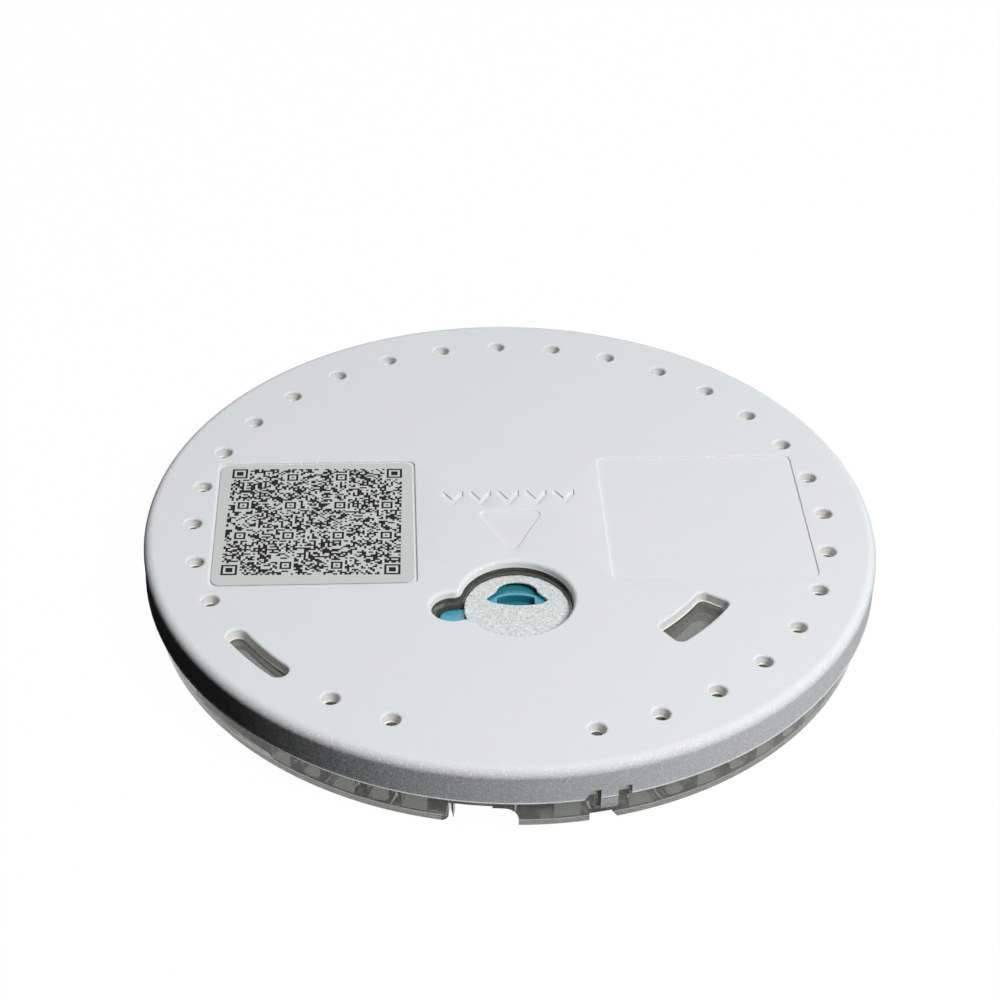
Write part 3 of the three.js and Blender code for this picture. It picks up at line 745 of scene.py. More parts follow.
def new_material(name):
    """A material with an empty node tree, the tree, and the place on the object."""
    material = bpy.data.materials.new(name)
    material.use_nodes = True
    tree = material.node_tree
    tree.nodes.clear()
    return material, tree, node(tree, "TexCoord").outputs["Object"]


def node(tree, kind, inputs=None, **settings):
    """Adds a shader node with its settings, values and links."""
    made = tree.nodes.new("ShaderNode" + kind)
    for key, value in settings.items():
        setattr(made, key, value)
    for key, value in (inputs or {}).items():
        if isinstance(value, bpy.types.NodeSocket):
            tree.links.new(value, made.inputs[key])
        else:
            made.inputs[key].default_value = value
    return made


def mix(tree, factor, first, second):
    """Mixes two colours, each a socket or a red, green and blue, and returns the result."""
    made = node(tree, "Mix", data_type="RGBA")
    for place, value in ((0, factor), (6, first), (7, second)):
        if isinstance(value, bpy.types.NodeSocket):
            tree.links.new(value, made.inputs[place])
        else:
            made.inputs[place].default_value = (*value, 1) if place else value
    return made.outputs[2]


def maths(tree, operation, first, second=0.0):
    return node(tree, "Math", {0: first, 1: second}, operation=operation).outputs[0]


def close_material(tree, shader):
    node(tree, "OutputMaterial", {"Surface": shader.outputs[0]})


def flake_normal(tree, place, size, tilt):
    """Cells of one flake each: a tilted normal and a random number for every cell."""
    cells = node(tree, "TexVoronoi", {"Vector": place, "Scale": 1 / size})
    spread = node(tree, "VectorMath", {0: cells.outputs["Color"], 1: (0.5, 0.5, 0.5)},
                  operation="SUBTRACT")
    lean = node(tree, "VectorMath", {0: spread.outputs[0], "Scale": tilt}, operation="SCALE")
    surface = node(tree, "NewGeometry")
    total = node(tree, "VectorMath", {0: surface.outputs["Normal"], 1: lean.outputs[0]})
    facing = node(tree, "VectorMath", {0: total.outputs[0]}, operation="NORMALIZE")
    chance = node(tree, "SeparateColor", {"Color": cells.outputs["Color"]})
    return facing.outputs[0], chance.outputs


def cover_material(settings):
    """Pearl white high-impact polystyrene, injection moulded: a soft matt skin with fine mica
    flakes and painted white glints where it rounds, a faint pink and green cast, and painted warm
    bounce light on the walls inside the openings."""
    material, tree, place = new_material("pearl white moulded polystyrene")
    surface = node(tree, "NewGeometry")
    slope = node(tree, "SeparateXYZ", {"Vector": surface.outputs["Normal"]})
    upright = maths(tree, "SUBTRACT", 1, maths(tree, "ABSOLUTE", slope.outputs["Z"]))
    tilt = maths(tree, "ADD", 0.04, maths(tree, "MULTIPLY", upright, 0.1))
    facing, chance = flake_normal(tree, place, settings.flake_size, tilt)
    cast = node(tree, "TexNoise", {"Vector": place, "Scale": 1 / (6 * MM), "Detail": 3})
    band = node(tree, "MapRange", {
        "Value": cast.outputs["Fac"], "From Min": 0.35, "From Max": 0.65})
    red, green, blue = settings.base
    tone = mix(tree, band.outputs[0], (red * 1.01, green * 0.985, blue * 0.99),
               (red * 0.975, green, blue))
    # Painted glints: random flake cells turn pure white where the surface rounds or stands upright
    glint = node(tree, "MapRange", {
        "Value": chance["Red"], "From Min": 0.88, "From Max": 0.94, "To Min": 0.0, "To Max": 1.0})
    grain = node(tree, "MapRange", {
        "Value": chance["Green"], "From Min": 0.0, "From Max": 1.0, "To Min": 0.0, "To Max": 0.2})
    speckled = mix(tree, maths(tree, "MULTIPLY", grain.outputs[0], upright), tone,
                   [c * 0.55 for c in settings.base])
    rounded = maths(tree, "MINIMUM", 1, maths(tree, "MULTIPLY", upright, 5))
    with_painted_glints = mix(tree, maths(tree, "MULTIPLY", glint.outputs[0], rounded), speckled, (1, 1, 1))
    apart = node(tree, "SeparateXYZ", {"Vector": place})
    flat = node(tree, "VectorMath", {0: place, 1: (1, 1, 0)}, operation="MULTIPLY")
    reach = node(tree, "VectorMath", {0: flat.outputs[0]}, operation="LENGTH").outputs["Value"]
    # Painted bounce light: walls deep inside the openings take the warmer, lighter wall colour
    deep = maths(tree, "LESS_THAN", apart.outputs["Z"], DISC_TOP - PAINTED_BOUNCE_DEPTH)
    within = maths(tree, "LESS_THAN", reach, SKIRT_RADIUS - PAINTED_BOUNCE_MARGIN)
    bounce_lit = mix(tree, maths(tree, "MULTIPLY", deep, within), with_painted_glints, settings.wall)
    shader = node(tree, "BsdfPrincipled", {
        "Base Color": bounce_lit, "Roughness": 0.4, "Specular IOR Level": 0.0, "Normal": facing,
        "Subsurface Weight": 0.3, "Subsurface Radius": (1, 1, 1), "Subsurface Scale": 0.5 * MM})
    close_material(tree, shader)
    return material


def label_material(settings):
    """Matt polypropylene label film with thermal transfer printing: dead black square modules on a
    film slightly greyer and warmer than the cover."""
    material, tree, place = new_material("printed polypropylene label film")
    centre = (-CODE_CENTRE[0], -CODE_CENTRE[1], 0)
    moved = node(tree, "VectorMath", {0: place, 1: centre})
    scaled = node(tree, "VectorMath", {0: moved.outputs[0], "Scale": 1 / settings.module},
                  operation="SCALE")
    turned = node(tree, "VectorRotate", {"Vector": scaled.outputs[0], "Angle": CODE_TURN},
                  rotation_type="Z_AXIS")
    shifted = node(tree, "VectorMath", {0: turned.outputs[0], 1: (0.5, 0.5, 0)})
    cell = node(tree, "VectorMath", {0: shifted.outputs[0]}, operation="FLOOR")
    flat = node(tree, "VectorMath", {0: cell.outputs[0], 1: (1, 1, 0)}, operation="MULTIPLY")
    away = node(tree, "VectorMath", {0: flat.outputs[0]}, operation="ABSOLUTE")
    apart = node(tree, "SeparateXYZ", {"Vector": away.outputs[0]})
    random = node(tree, "TexWhiteNoise", {"Vector": flat.outputs[0]}, noise_dimensions="2D")
    half = settings.modules // 2
    ink = maths(tree, "LESS_THAN", random.outputs["Value"], 0.5)
    far_mark, near_mark = half - 6, (half - 6) // 3 + 1
    for x, y, reach in ((half - 3, half - 3, 3), (near_mark, near_mark, 2),
                        (far_mark, near_mark, 2), (near_mark, far_mark, 2)):
        across = maths(tree, "ABSOLUTE", maths(tree, "SUBTRACT", apart.outputs["X"], x))
        along = maths(tree, "ABSOLUTE", maths(tree, "SUBTRACT", apart.outputs["Y"], y))
        far = maths(tree, "MAXIMUM", across, along)
        ring = maths(tree, "GREATER_THAN", far, reach - 0.5)
        core = maths(tree, "LESS_THAN", far, reach - 1.5)
        within = maths(tree, "LESS_THAN", far, reach + 1.5)
        rim = maths(tree, "LESS_THAN", far, reach + 0.5)
        mark = maths(tree, "MAXIMUM", maths(tree, "MULTIPLY", ring, rim), core)
        around = maths(tree, "MULTIPLY", ink, maths(tree, "SUBTRACT", 1, within))
        ink = maths(tree, "ADD", around, maths(tree, "MULTIPLY", mark, within))
    edge = maths(tree, "MAXIMUM", apart.outputs["X"], apart.outputs["Y"])
    printed = maths(tree, "MULTIPLY", ink, maths(tree, "LESS_THAN", edge, half + 0.5))
    fibre = node(tree, "TexNoise", {"Vector": place, "Scale": 1 / (0.4 * MM), "Detail": 2})
    bump = node(tree, "Bump", {
        "Height": fibre.outputs["Fac"], "Strength": 0.08, "Distance": 0.05 * MM})
    shader = node(tree, "BsdfPrincipled", {
        "Base Color": mix(tree, printed, settings.film, settings.ink), "Roughness": 0.6,
        "Specular IOR Level": 0.12, "Normal": bump.outputs[0]})
    close_material(tree, shader)
    return material


def clear_material(settings):
    """Optical grade acrylic, injection moulded: clear and glossy, faintly green in its depth and
    greyed down as painted shade, with slight flow waves from the mould, a matt standing face, and
    the fin painted near black as painted shade."""
    material, tree, place = new_material("clear moulded acrylic")
    waves = node(tree, "TexNoise", {"Vector": place, "Scale": 1 / (3 * MM), "Detail": 2})
    bump = node(tree, "Bump", {
        "Height": waves.outputs["Fac"], "Strength": 0.15, "Distance": 0.1 * MM})
    depth = node(tree, "TexNoise", {"Vector": place, "Scale": 1 / (9 * MM), "Detail": 1})
    # Partly painted shade: the tint greys the clear plastic down; the noise varies it at random
    tint = mix(tree, depth.outputs["Fac"], settings.tint, [c * 0.93 for c in settings.tint])
    # Painted shade: the fin in the notch is painted near black
    turned = node(tree, "VectorRotate", {"Vector": place, "Angle": -math.radians(FIN_ANGLE)},
                  rotation_type="Z_AXIS")
    spot = node(tree, "SeparateXYZ", {"Vector": turned.outputs[0]}).outputs
    outer = maths(tree, "GREATER_THAN", spot["X"], ROTOR_RADIUS - NOTCH_DEPTH)
    beside = maths(tree, "LESS_THAN", maths(tree, "ABSOLUTE", spot["Y"]), FIN_WIDTH)
    low = maths(tree, "LESS_THAN", spot["Z"], NOTCH_RISE + NOTCH_STEP_RISE)
    painted_fin_shade = maths(tree, "MULTIPLY", maths(tree, "MULTIPLY", outer, beside), low)
    tint_and_fin_shade = mix(tree, painted_fin_shade, tint, (0.01, 0.01, 0.01))
    rough = node(tree, "MapRange", {
        "Value": spot["Z"], "From Min": 0.01 * MM, "From Max": 0.02 * MM, "To Min": 1.0,
        "To Max": settings.roughness})
    shader = node(tree, "BsdfPrincipled", {
        "Base Color": tint_and_fin_shade, "Roughness": rough.outputs[0], "IOR": CLEAR_IOR,
        "Transmission Weight": 1 - settings.haze, "Normal": bump.outputs[0]})
    close_material(tree, shader)
    return material


def frosted_material(settings):
    """Sintered polyethylene film: a white frost of fused grains of random tone, some painted pure
    white as painted glints.
    """
    material, tree, place = new_material("frosted sintered polyethylene")
    facing, chance = flake_normal(tree, place, settings.grain, 0.8)
    grain = node(tree, "MapRange", {
        "Value": chance["Green"], "From Min": 0.0, "From Max": 1.0, "To Min": 0.84, "To Max": 1.02})
    shade = node(tree, "VectorMath", {0: tuple(settings.film), "Scale": grain.outputs[0]},
                 operation="SCALE")
    # Painted glints: a share of the grains is painted pure white
    glint = node(tree, "MapRange", {
        "Value": chance["Blue"], "From Min": 0.84, "From Max": 0.87, "To Min": 0.0, "To Max": 1.0})
    shader = node(tree, "BsdfPrincipled", {
        "Base Color": mix(tree, glint.outputs[0], shade.outputs[0], (1, 1, 1)),
        "Roughness": 0.3, "IOR": 1.5, "Normal": facing,
        "Subsurface Weight": 0.6, "Subsurface Radius": (1, 1, 1), "Subsurface Scale": 0.3 * MM})
    close_material(tree, shader)
    return material


def blue_material(settings):
    """Translucent blue polypropylene: waxy, lit from within, with a soft gloss, and painted darker
    below the step's top as painted shade."""
    material, tree, place = new_material("translucent blue polypropylene")
    cloud = node(tree, "TexNoise", {"Vector": place, "Scale": 1 / (1.5 * MM), "Detail": 3})
    tone = mix(tree, cloud.outputs["Fac"], [c * 0.85 for c in settings.blue],
               [c * 1.15 for c in settings.blue])
    bump = node(tree, "Bump", {
        "Height": cloud.outputs["Fac"], "Strength": 0.2, "Distance": 0.1 * MM})
    # Painted shade: the blue turns darker below the step's top
    height = node(tree, "SeparateXYZ", {"Vector": place}).outputs["Z"]
    below_step_top = maths(tree, "LESS_THAN", height, PAD_TOP - STEP_EDGE - TINY)
    shaded_below_step = mix(tree, below_step_top, tone, [c * 0.6 for c in settings.blue])
    shader = node(tree, "BsdfPrincipled", {
        "Base Color": shaded_below_step, "Roughness": 0.22, "IOR": CLEAR_IOR, "Transmission Weight": 0.15,
        "Subsurface Weight": 0.8, "Subsurface Radius": (0.5, 1, 1), "Subsurface Scale": 1.5 * MM,
        "Normal": bump.outputs[0]})
    close_material(tree, shader)
    return material


def foil_material():
    """Rolled aluminium foil, heat sealed: bright metal with soft wrinkles, painted darker in their
    troughs as painted shade.
    """
    material, tree, place = new_material("rolled aluminium foil")
    wrinkles = node(tree, "TexNoise", {"Vector": place, "Scale": 1 / (1.2 * MM), "Detail": 4})
    bump = node(tree, "Bump", {
        "Height": wrinkles.outputs["Fac"], "Strength": 0.5, "Distance": 0.2 * MM})
    # Painted shade: the metal turns darker in the wrinkles' troughs
    tone = node(tree, "MapRange", {"Value": wrinkles.outputs["Fac"], "To Min": 0.7, "To Max": 0.85})
    shader = node(tree, "BsdfPrincipled", {
        "Base Color": tone.outputs[0], "Metallic": 1.0, "Roughness": 0.3,
        "Normal": bump.outputs[0]})
    close_material(tree, shader)
    return material


def bead_material(name, tone):
    """Freeze-dried reagent: a chalky porous cake, matt, with pits painted darker as painted shade.
    """
    material, tree, place = new_material(name)
    pores = node(tree, "TexNoise", {"Vector": place, "Scale": 1 / (0.25 * MM), "Detail": 4})
    # Painted shade: the colour darkens where the bump sinks into pits
    cake = mix(tree, pores.outputs["Fac"], [c * 0.75 for c in tone], [c * 1.1 for c in tone])
    bump = node(tree, "Bump", {
        "Height": pores.outputs["Fac"], "Strength": 0.6, "Distance": 0.1 * MM})
    shader = node(tree, "BsdfPrincipled", {
        "Base Color": cake, "Roughness": 0.9, "Normal": bump.outputs[0]})
    close_material(tree, shader)
    return material


# Cover

def cover_body(settings):
    pen = Pen("cover", (0, COVER_UNDER))
    pen.line(SKIRT_RADIUS, COVER_UNDER)
    pen.line(SKIRT_RADIUS, SKIRT_BOTTOM + SKIRT_EDGE)
    pen.line(SKIRT_RADIUS + SKIRT_EDGE, SKIRT_BOTTOM)
    pen.line(DISC_RADIUS, SKIRT_BOTTOM)
    pen.line(DISC_RADIUS, SKIRT_BOTTOM + SKIRT_FLAT)
    pen.line(WALL_RADIUS, SKIRT_BOTTOM + SKIRT_FLAT + SKIRT_BEAD)
    pen.line(WALL_RADIUS, DISC_TOP - settings.rim_round)
    pen.arc((WALL_RADIUS - settings.rim_round, DISC_TOP - settings.rim_round), 90, 10)
    pen.line(WALL_RADIUS - settings.rim_round - FLAT_BAND, DISC_TOP)
    pen.line(0, DISC_TOP)
    return pen.revolve()


def through_cutter(pen, lip_round, flash, plate=COVER_PLATE):
    """A cutter for an opening: a rounded lip, a straight wall and the thin edge at its foot."""
    pen.fill()
    wall = plate - lip_round - flash
    sink([(0, OVERRUN), *lip(lip_round), (0, wall), (flash, 0), (0, flash + OVERRUN)])
    return leave_edit()


def blind_cutter(pen, lip_round, depth):
    """A cutter for a shallow recess with a softened edge."""
    pen.fill()
    sink([(0, OVERRUN), *lip(lip_round, 3), (0, depth - lip_round)])
    return leave_edit()


def chevron(index):
    """One of the generic arrow marks that point to the inlet."""
    x = (index - (MARK_COUNT - 1) / 2) * MARK_PITCH
    half = MARK_WIDTH / 2
    corners = [(x - half, MARK_TOP), (x - half, MARK_TOP - MARK_STROKE),
               (x, MARK_TOP - MARK_STROKE - MARK_DROP),
               (x + half, MARK_TOP - MARK_STROKE), (x + half, MARK_TOP),
               (x, MARK_TOP - MARK_DROP)]
    return draw_polygon("mark", DISC_TOP + OVERRUN, corners, MARK_CORNER)


def cover_piece(settings):
    above = DISC_TOP + OVERRUN
    grow = settings.lip_round
    cover = cover_body(settings)
    window = draw_circle("window", above, settings.window_radius + grow, RING_RADIUS)
    windows = repeated("windows", through_cutter(window, grow, settings.flash),
                       [i * PITCH for i in CUVETTES])
    slot = through_cutter(
        draw_ring_slot("slot", above, RING_RADIUS, SLOT_WIDTH, *SLOT_ANGLES, grow), grow,
        settings.flash)
    view = through_cutter(
        draw_sector("view", above, VIEW_RADII[0] - grow, VIEW_RADII[1] + grow,
                    VIEW_ANGLES[0] - math.degrees(grow / VIEW_RADII[1]),
                    VIEW_ANGLES[1] + math.degrees(grow / VIEW_RADII[1]), VIEW_CORNER + grow),
        grow, settings.flash)
    inlet = through_cutter(draw_inlet("inlet", above, settings.inlet_round),
                           settings.inlet_round, settings.flash / 2, INLET_PLATE)
    thinned = prism(draw_inlet("thinned", DISC_TOP - INLET_PLATE, INLET_RELIEF),
                    COVER_PLATE - INLET_PLATE + OVERRUN)
    panels = [
        blind_cutter(draw_rectangle("panel", above, PANEL_SIZE, PANEL_SIZE, PANEL_CORNER,
                                    side * PANEL_DISTANCE), PANEL_LIP, depth)
        for side, depth in ((-1, LABEL_PANEL_DEPTH), (1, BARE_PANEL_DEPTH))
    ]
    pointer = blind_cutter(draw_polygon(
        "pointer", above, [(-POINTER_HALF_WIDTH, POINTER_TOP), (0, POINTER_TIP),
                           (POINTER_HALF_WIDTH, POINTER_TOP)], POINTER_CORNER),
        POINTER_LIP, POINTER_DEPTH)
    marks = [blind_cutter(chevron(i), MARK_LIP, MARK_DEPTH) for i in range(MARK_COUNT)]
    gate = blind_cutter(draw_circle("gate", above, GATE_RADIUS, *GATE_PLACE), GATE_LIP, GATE_DEPTH)
    cut(cover, joined("openings", [windows, slot, view, inlet, *panels, pointer, gate, *marks]),
        thinned)
    cuts = []
    for start, end in ((KEY_CUT_ANGLES[0], KEY_ANGLES[0]), (KEY_ANGLES[1], KEY_CUT_ANGLES[1])):
        pen = draw_sector("flex cut", SKIRT_BOTTOM + KEY_CUT_RISE, SKIRT_RADIUS - OVERRUN,
                          DISC_RADIUS + OVERRUN, start, end)
        cuts.append(prism(pen, KEY_CUT_RISE + OVERRUN))
    cut(cover, joined("flex cuts", cuts),
        foot_cutter(DISC_RADIUS, SKIRT_BOTTOM, KEY_FOOT, KEY_CUT_ANGLES[0]))
    pen = draw_sector("key", SKIRT_BOTTOM + KEY_CUT_RISE, SKIRT_RADIUS, WALL_RADIUS - TINY,
                      *KEY_ANGLES)
    key = prism(pen, SKIRT_BOTTOM + KEY_CUT_RISE - KEY_BOTTOM)
    bevel_edges(key, lambda a, b: max(a.z, b.z) < KEY_BOTTOM + TINY, KEY_EDGE)
    pins = repeated("pins", add_cylinder(
        "pin", PIN_RADIUS, BASE_TOP - PIN_REACH, COVER_UNDER + COVER_PLATE / 2,
        PIN_DISTANCE, steps=HOLE_STEPS), PIN_ANGLES)
    unite(cover, key, pins)
    return smooth(cover)


# Label

def label_piece():
    pen = draw_rectangle("printed_label", label_high.z, label_high.x - label_low.x,
                         label_high.y - label_low.y, LABEL_CORNER,
                         (label_low.x + label_high.x) / 2, (label_low.y + label_high.y) / 2)
    pen.fill()
    sink([(0, label_high.z - label_low.z)])
    leave_edit()
    return smooth(modify(pen.object, "BEVEL", width=LABEL_EDGE, segments=2))


# Inlet disc

def inlet_disc_piece():
    edge = 0.05 * MM
    disc = add_cylinder("frosted_inlet_disc", FILM_RADIUS - edge, INLET_UNDER, INLET_TOP,
                        0, FILM_Y, RIM_STEPS, edge)
    bpy.ops.object.mode_set(mode="EDIT")
    rim = FILM_RADIUS - 2 * edge
    select_edges(disc, lambda a, b: min(math.hypot(p.x, p.y - FILM_Y) for p in (a, b)) > rim)
    bpy.ops.transform.vertex_random(offset=edge, uniform=1, normal=0, seed=7)
    leave_edit()
    port = draw_port("port", INLET_TOP + OVERRUN, edge)
    port.fill()
    sink([(0, OVERRUN), *lip(edge, 3), (0, INLET_TOP - INLET_UNDER + OVERRUN)])
    return smooth(cut(disc, leave_edit()))


# Rotor lid

def pad_solid(name, radius, reach, bottom, top, edge=0.0):
    """The press pad's round end and its neck towards the inlet's middle."""
    lean = math.atan2(LOBE_DROP, LOBE_OFFSET)
    lobe = Vector((-LOBE_OFFSET, INLET_Y - LOBE_DROP, 0))
    end = add_cylinder(name, radius, bottom, top, lobe.x, lobe.y, HOLE_STEPS, edge)
    neck = add_box("neck", (reach, 2 * radius, top - bottom), (reach / 2, 0, (top + bottom) / 2))
    if edge > 0:
        bevel_edges(neck, lambda a, b: min(a.z, b.z) > top - TINY and abs(a.y - b.y) < TINY, edge)
    neck.data.transform(Matrix.Translation(lobe) @ Matrix.Rotation(lean, 4, "Z"))
    return unite(end, neck)


def pin_holes(bottom, top):
    hole = add_cylinder("pin hole", PIN_RADIUS + SEAT_GAP, bottom, top, PIN_DISTANCE,
                        steps=HOLE_STEPS)
    return repeated("pin holes", hole, PIN_ANGLES)


def lid_piece():
    lid_top = LID_UNDER + LID_PLATE
    edge = 0.1 * MM
    pen = Pen("clear_lid", (0, LID_UNDER))
    pen.line(ROTOR_RADIUS - edge, LID_UNDER)
    pen.arc((ROTOR_RADIUS - edge, LID_UNDER + edge), 90, 2)
    pen.line(ROTOR_RADIUS, lid_top - edge)
    pen.arc((ROTOR_RADIUS - edge, lid_top - edge), 90, 2)
    pen.line(0, lid_top)
    lid = pen.revolve()
    rise_top = DISC_TOP - INLET_PLATE - INLET_GAP
    rise = prism(draw_inlet("rise", rise_top, INLET_RELIEF - 2 * INLET_GAP),
                 rise_top - lid_top + LID_PLATE / 2)
    cut(rise, prism(draw_inlet("rise way", rise_top + OVERRUN, RISE_WALL),
                    rise_top - lid_top + LID_PLATE + OVERRUN))
    seat = FILM_RADIUS + INLET_GAP
    ledge = INLET_UNDER - INLET_GAP
    unite(lid, add_cylinder("collar", seat + COLLAR_WALL, LID_UNDER + LID_PLATE / 2, COLLAR_TOP,
                            0, FILM_Y, edge=COLLAR_EDGE), rise)
    below, above = LID_UNDER - OVERRUN, DISC_TOP
    cut(lid,
        add_cylinder("seat", seat, ledge, above, 0, FILM_Y),
        add_cylinder("port", seat - PORT_LEDGE, below, above, 0, FILM_Y),
        pad_solid("pad way", PAD_RADIUS + FIT_GAP, PAD_LENGTH + PORT_LEDGE, below, above),
        pin_holes(below, above))
    return smooth(lid)


# Rotor base

def base_blank():
    ring_inner = CHANNEL_RADIUS + CHANNEL_WIDTH
    hub = SOCKET_RADIUS + HUB_WALL
    edge = 0.06 * MM
    soft = 0.12 * MM
    pen = Pen("clear_rotor", (0, HUB_LIFT))
    pen.line(hub, HUB_LIFT)
    pen.line(hub, SLAB_UNDER)
    pen.line(ring_inner, SLAB_UNDER)
    pen.line(ring_inner, 0)
    pen.line(ring_inner + FOOT_WIDTH, 0)
    pen.line(ring_inner + FOOT_WIDTH, OPTICS_RECESS)
    pen.line(CUVETTE_OUTER, OPTICS_RECESS)
    pen.line(CUVETTE_OUTER, 0)
    pen.line(BASE_RADIUS - edge, 0)
    pen.arc((BASE_RADIUS - edge, edge), 90, 4)
    pen.line(BASE_RADIUS, FLANGE_TOP - soft)
    pen.arc((BASE_RADIUS - soft, FLANGE_TOP - soft), 90, 2)
    pen.line(ROTOR_RADIUS, FLANGE_TOP)
    pen.line(ROTOR_RADIUS, BASE_TOP)
    pen.line(0, BASE_TOP)
    return pen.revolve()


def well_cutter(width, run, floor, corner):
    """A box across the radius, with its two lower long edges rounded."""
    top = BASE_TOP + OVERRUN
    well = add_box("well", (run, width, top - floor),
                   (CUVETTE_OUTER - run / 2, 0, (top + floor) / 2))
    return bevel_edges(
        well, lambda a, b: max(a.z, b.z) < floor + TINY and abs(a.y - b.y) < TINY, corner,
        CORNER_STEPS)


def bay_cutter(half, bottom, top):
    """The round-ended bay in the capsule, open to the south, where the sample well stands."""
    end = INLET_Y + BAY_TOP - BAY_HALF_WIDTH
    south = INLET_Y - CAPSULE_RADIUS - LOBE_RADIUS
    pen = Pen("bay", (-half, south), top + OVERRUN)
    pen.line(half, south)
    pen.line(half, end)
    pen.arc((0, end), 180, ARC_STEPS)
    pen.line(-half, south)
    return prism(pen, top - bottom + 2 * OVERRUN)


def horseshoe(name, grow, bottom, top, edge=0.0):
    """The capsule's round body and lobe, less the bay for the sample well."""
    body = add_cylinder(name, CAPSULE_RADIUS + grow, bottom, top, 0, INLET_Y, edge=edge)
    lobe = add_cylinder("lobe", LOBE_RADIUS + grow, bottom, top, -LOBE_OFFSET,
                        INLET_Y - LOBE_DROP, edge=edge)
    return cut(unite(body, lobe), bay_cutter(BAY_HALF_WIDTH - grow, bottom, top))


def notch_cutter():
    """The rim's index notch: radial walls, a stepped ceiling and one rounded corner."""
    outer = BASE_RADIUS + OVERRUN
    depth = outer - ROTOR_RADIUS + NOTCH_DEPTH
    middle = sum(NOTCH_ANGLES) / 2
    left, step, right = [outer * math.tan(math.radians(degrees - middle))
                         for degrees in (NOTCH_ANGLES[0], NOTCH_STEP_ANGLE, NOTCH_ANGLES[1])]
    pen = Pen("notch", (left, -OVERRUN))
    pen.line(right, -OVERRUN)
    pen.line(right, NOTCH_RISE - NOTCH_CORNER)
    pen.arc((right - NOTCH_CORNER, NOTCH_RISE - NOTCH_CORNER), 90)
    pen.line(step, NOTCH_RISE)
    pen.line(step, NOTCH_RISE + NOTCH_STEP_RISE)
    pen.line(left, NOTCH_RISE + NOTCH_STEP_RISE)
    pen.line(left, -OVERRUN)
    pen.fill()
    bpy.ops.mesh.extrude_region_move(TRANSFORM_OT_translate={"value": (0, depth, 0)})
    bpy.ops.transform.resize(value=(1 - depth / outer, 1, 1), center_override=(0, depth, 0))
    notch = leave_edit()
    notch.data.transform(Matrix.Rotation(math.radians(middle - 270), 4, "Z")
                         @ Matrix.Translation((0, -outer, 0)))
    return notch


def notch_fin():
    """The thin moulding fin that hangs in the notch."""
    top = NOTCH_RISE + NOTCH_STEP_RISE
    half = FIN_WIDTH / 2
    pen = Pen("fin", (-half, top + FIN_WIDTH))
    pen.line(-half, top - FIN_REACH * FIN_SLANT)
    pen.line(half, top - FIN_REACH)
    pen.line(half, top + FIN_WIDTH)
    pen.line(-half, top + FIN_WIDTH)
    return run_inward(pen, BASE_RADIUS - FIN_INSET, FIN_DEPTH, FIN_ANGLE)


def keyway_cutters():
    """Room for the cover's key in the flange, and the raised edge beneath it with a slope."""
    outer = BASE_RADIUS + OVERRUN
    start, end = KEY_ANGLES[0] - KEYWAY_MARGIN, KEY_ANGLES[1] + KEYWAY_MARGIN
    slot = prism(draw_sector("keyway", FLANGE_TOP + OVERRUN, SKIRT_RADIUS - FIT_GAP, outer,
                             start, end), FLANGE_TOP + OVERRUN - KEY_BOTTOM + FIT_GAP)
    half = math.radians(RELIEF_ANGLES[1] - RELIEF_ANGLES[0]) * BASE_RADIUS / 2
    pen = Pen("relief", (-half, -OVERRUN))
    pen.line(half + OVERRUN * RELIEF_RUN / RELIEF_RISE, -OVERRUN)
    pen.line(half - RELIEF_RUN, RELIEF_RISE)
    pen.line(-half, RELIEF_RISE)
    pen.line(-half, -OVERRUN)
    return slot, run_inward(pen, outer, OVERRUN + RELIEF_DEPTH, sum(RELIEF_ANGLES) / 2)


def socket_cutters():
    top = BASE_TOP - HUB_ROOF
    reach = SOCKET_RADIUS + DRIVE_SLOT_DEPTH
    turns = [90 + i * 360 / DRIVE_SLOTS for i in range(DRIVE_SLOTS)]
    slots = [add_box("drive slot", (reach, DRIVE_SLOT_WIDTH, top + OVERRUN - DRIVE_SLOT_DROP),
                     (reach / 2, 0, (top - DRIVE_SLOT_DROP - OVERRUN) / 2)) for _ in turns]
    for slot, turn in zip(slots, turns):
        slot.data.transform(Matrix.Rotation(math.radians(turn), 4, "Z"))
    return (add_cylinder("socket", SOCKET_RADIUS, -OVERRUN, top), *slots)


def spike_solid():
    root = CAPSULE_FLOOR - BOSS_FLOOR / 2
    pen = Pen("spike", (0, root))
    pen.line(SPIKE_RADIUS, root)
    pen.line(SPIKE_RADIUS, CAPSULE_FLOOR)
    pen.line(SPIKE_TIP_RADIUS, SPIKE_TIP)
    pen.line(0, SPIKE_TIP)
    spike = pen.revolve(HOLE_STEPS)
    spike.data.transform(Matrix.Translation((0, INLET_Y + SPIKE_OFFSET, 0)))
    return spike


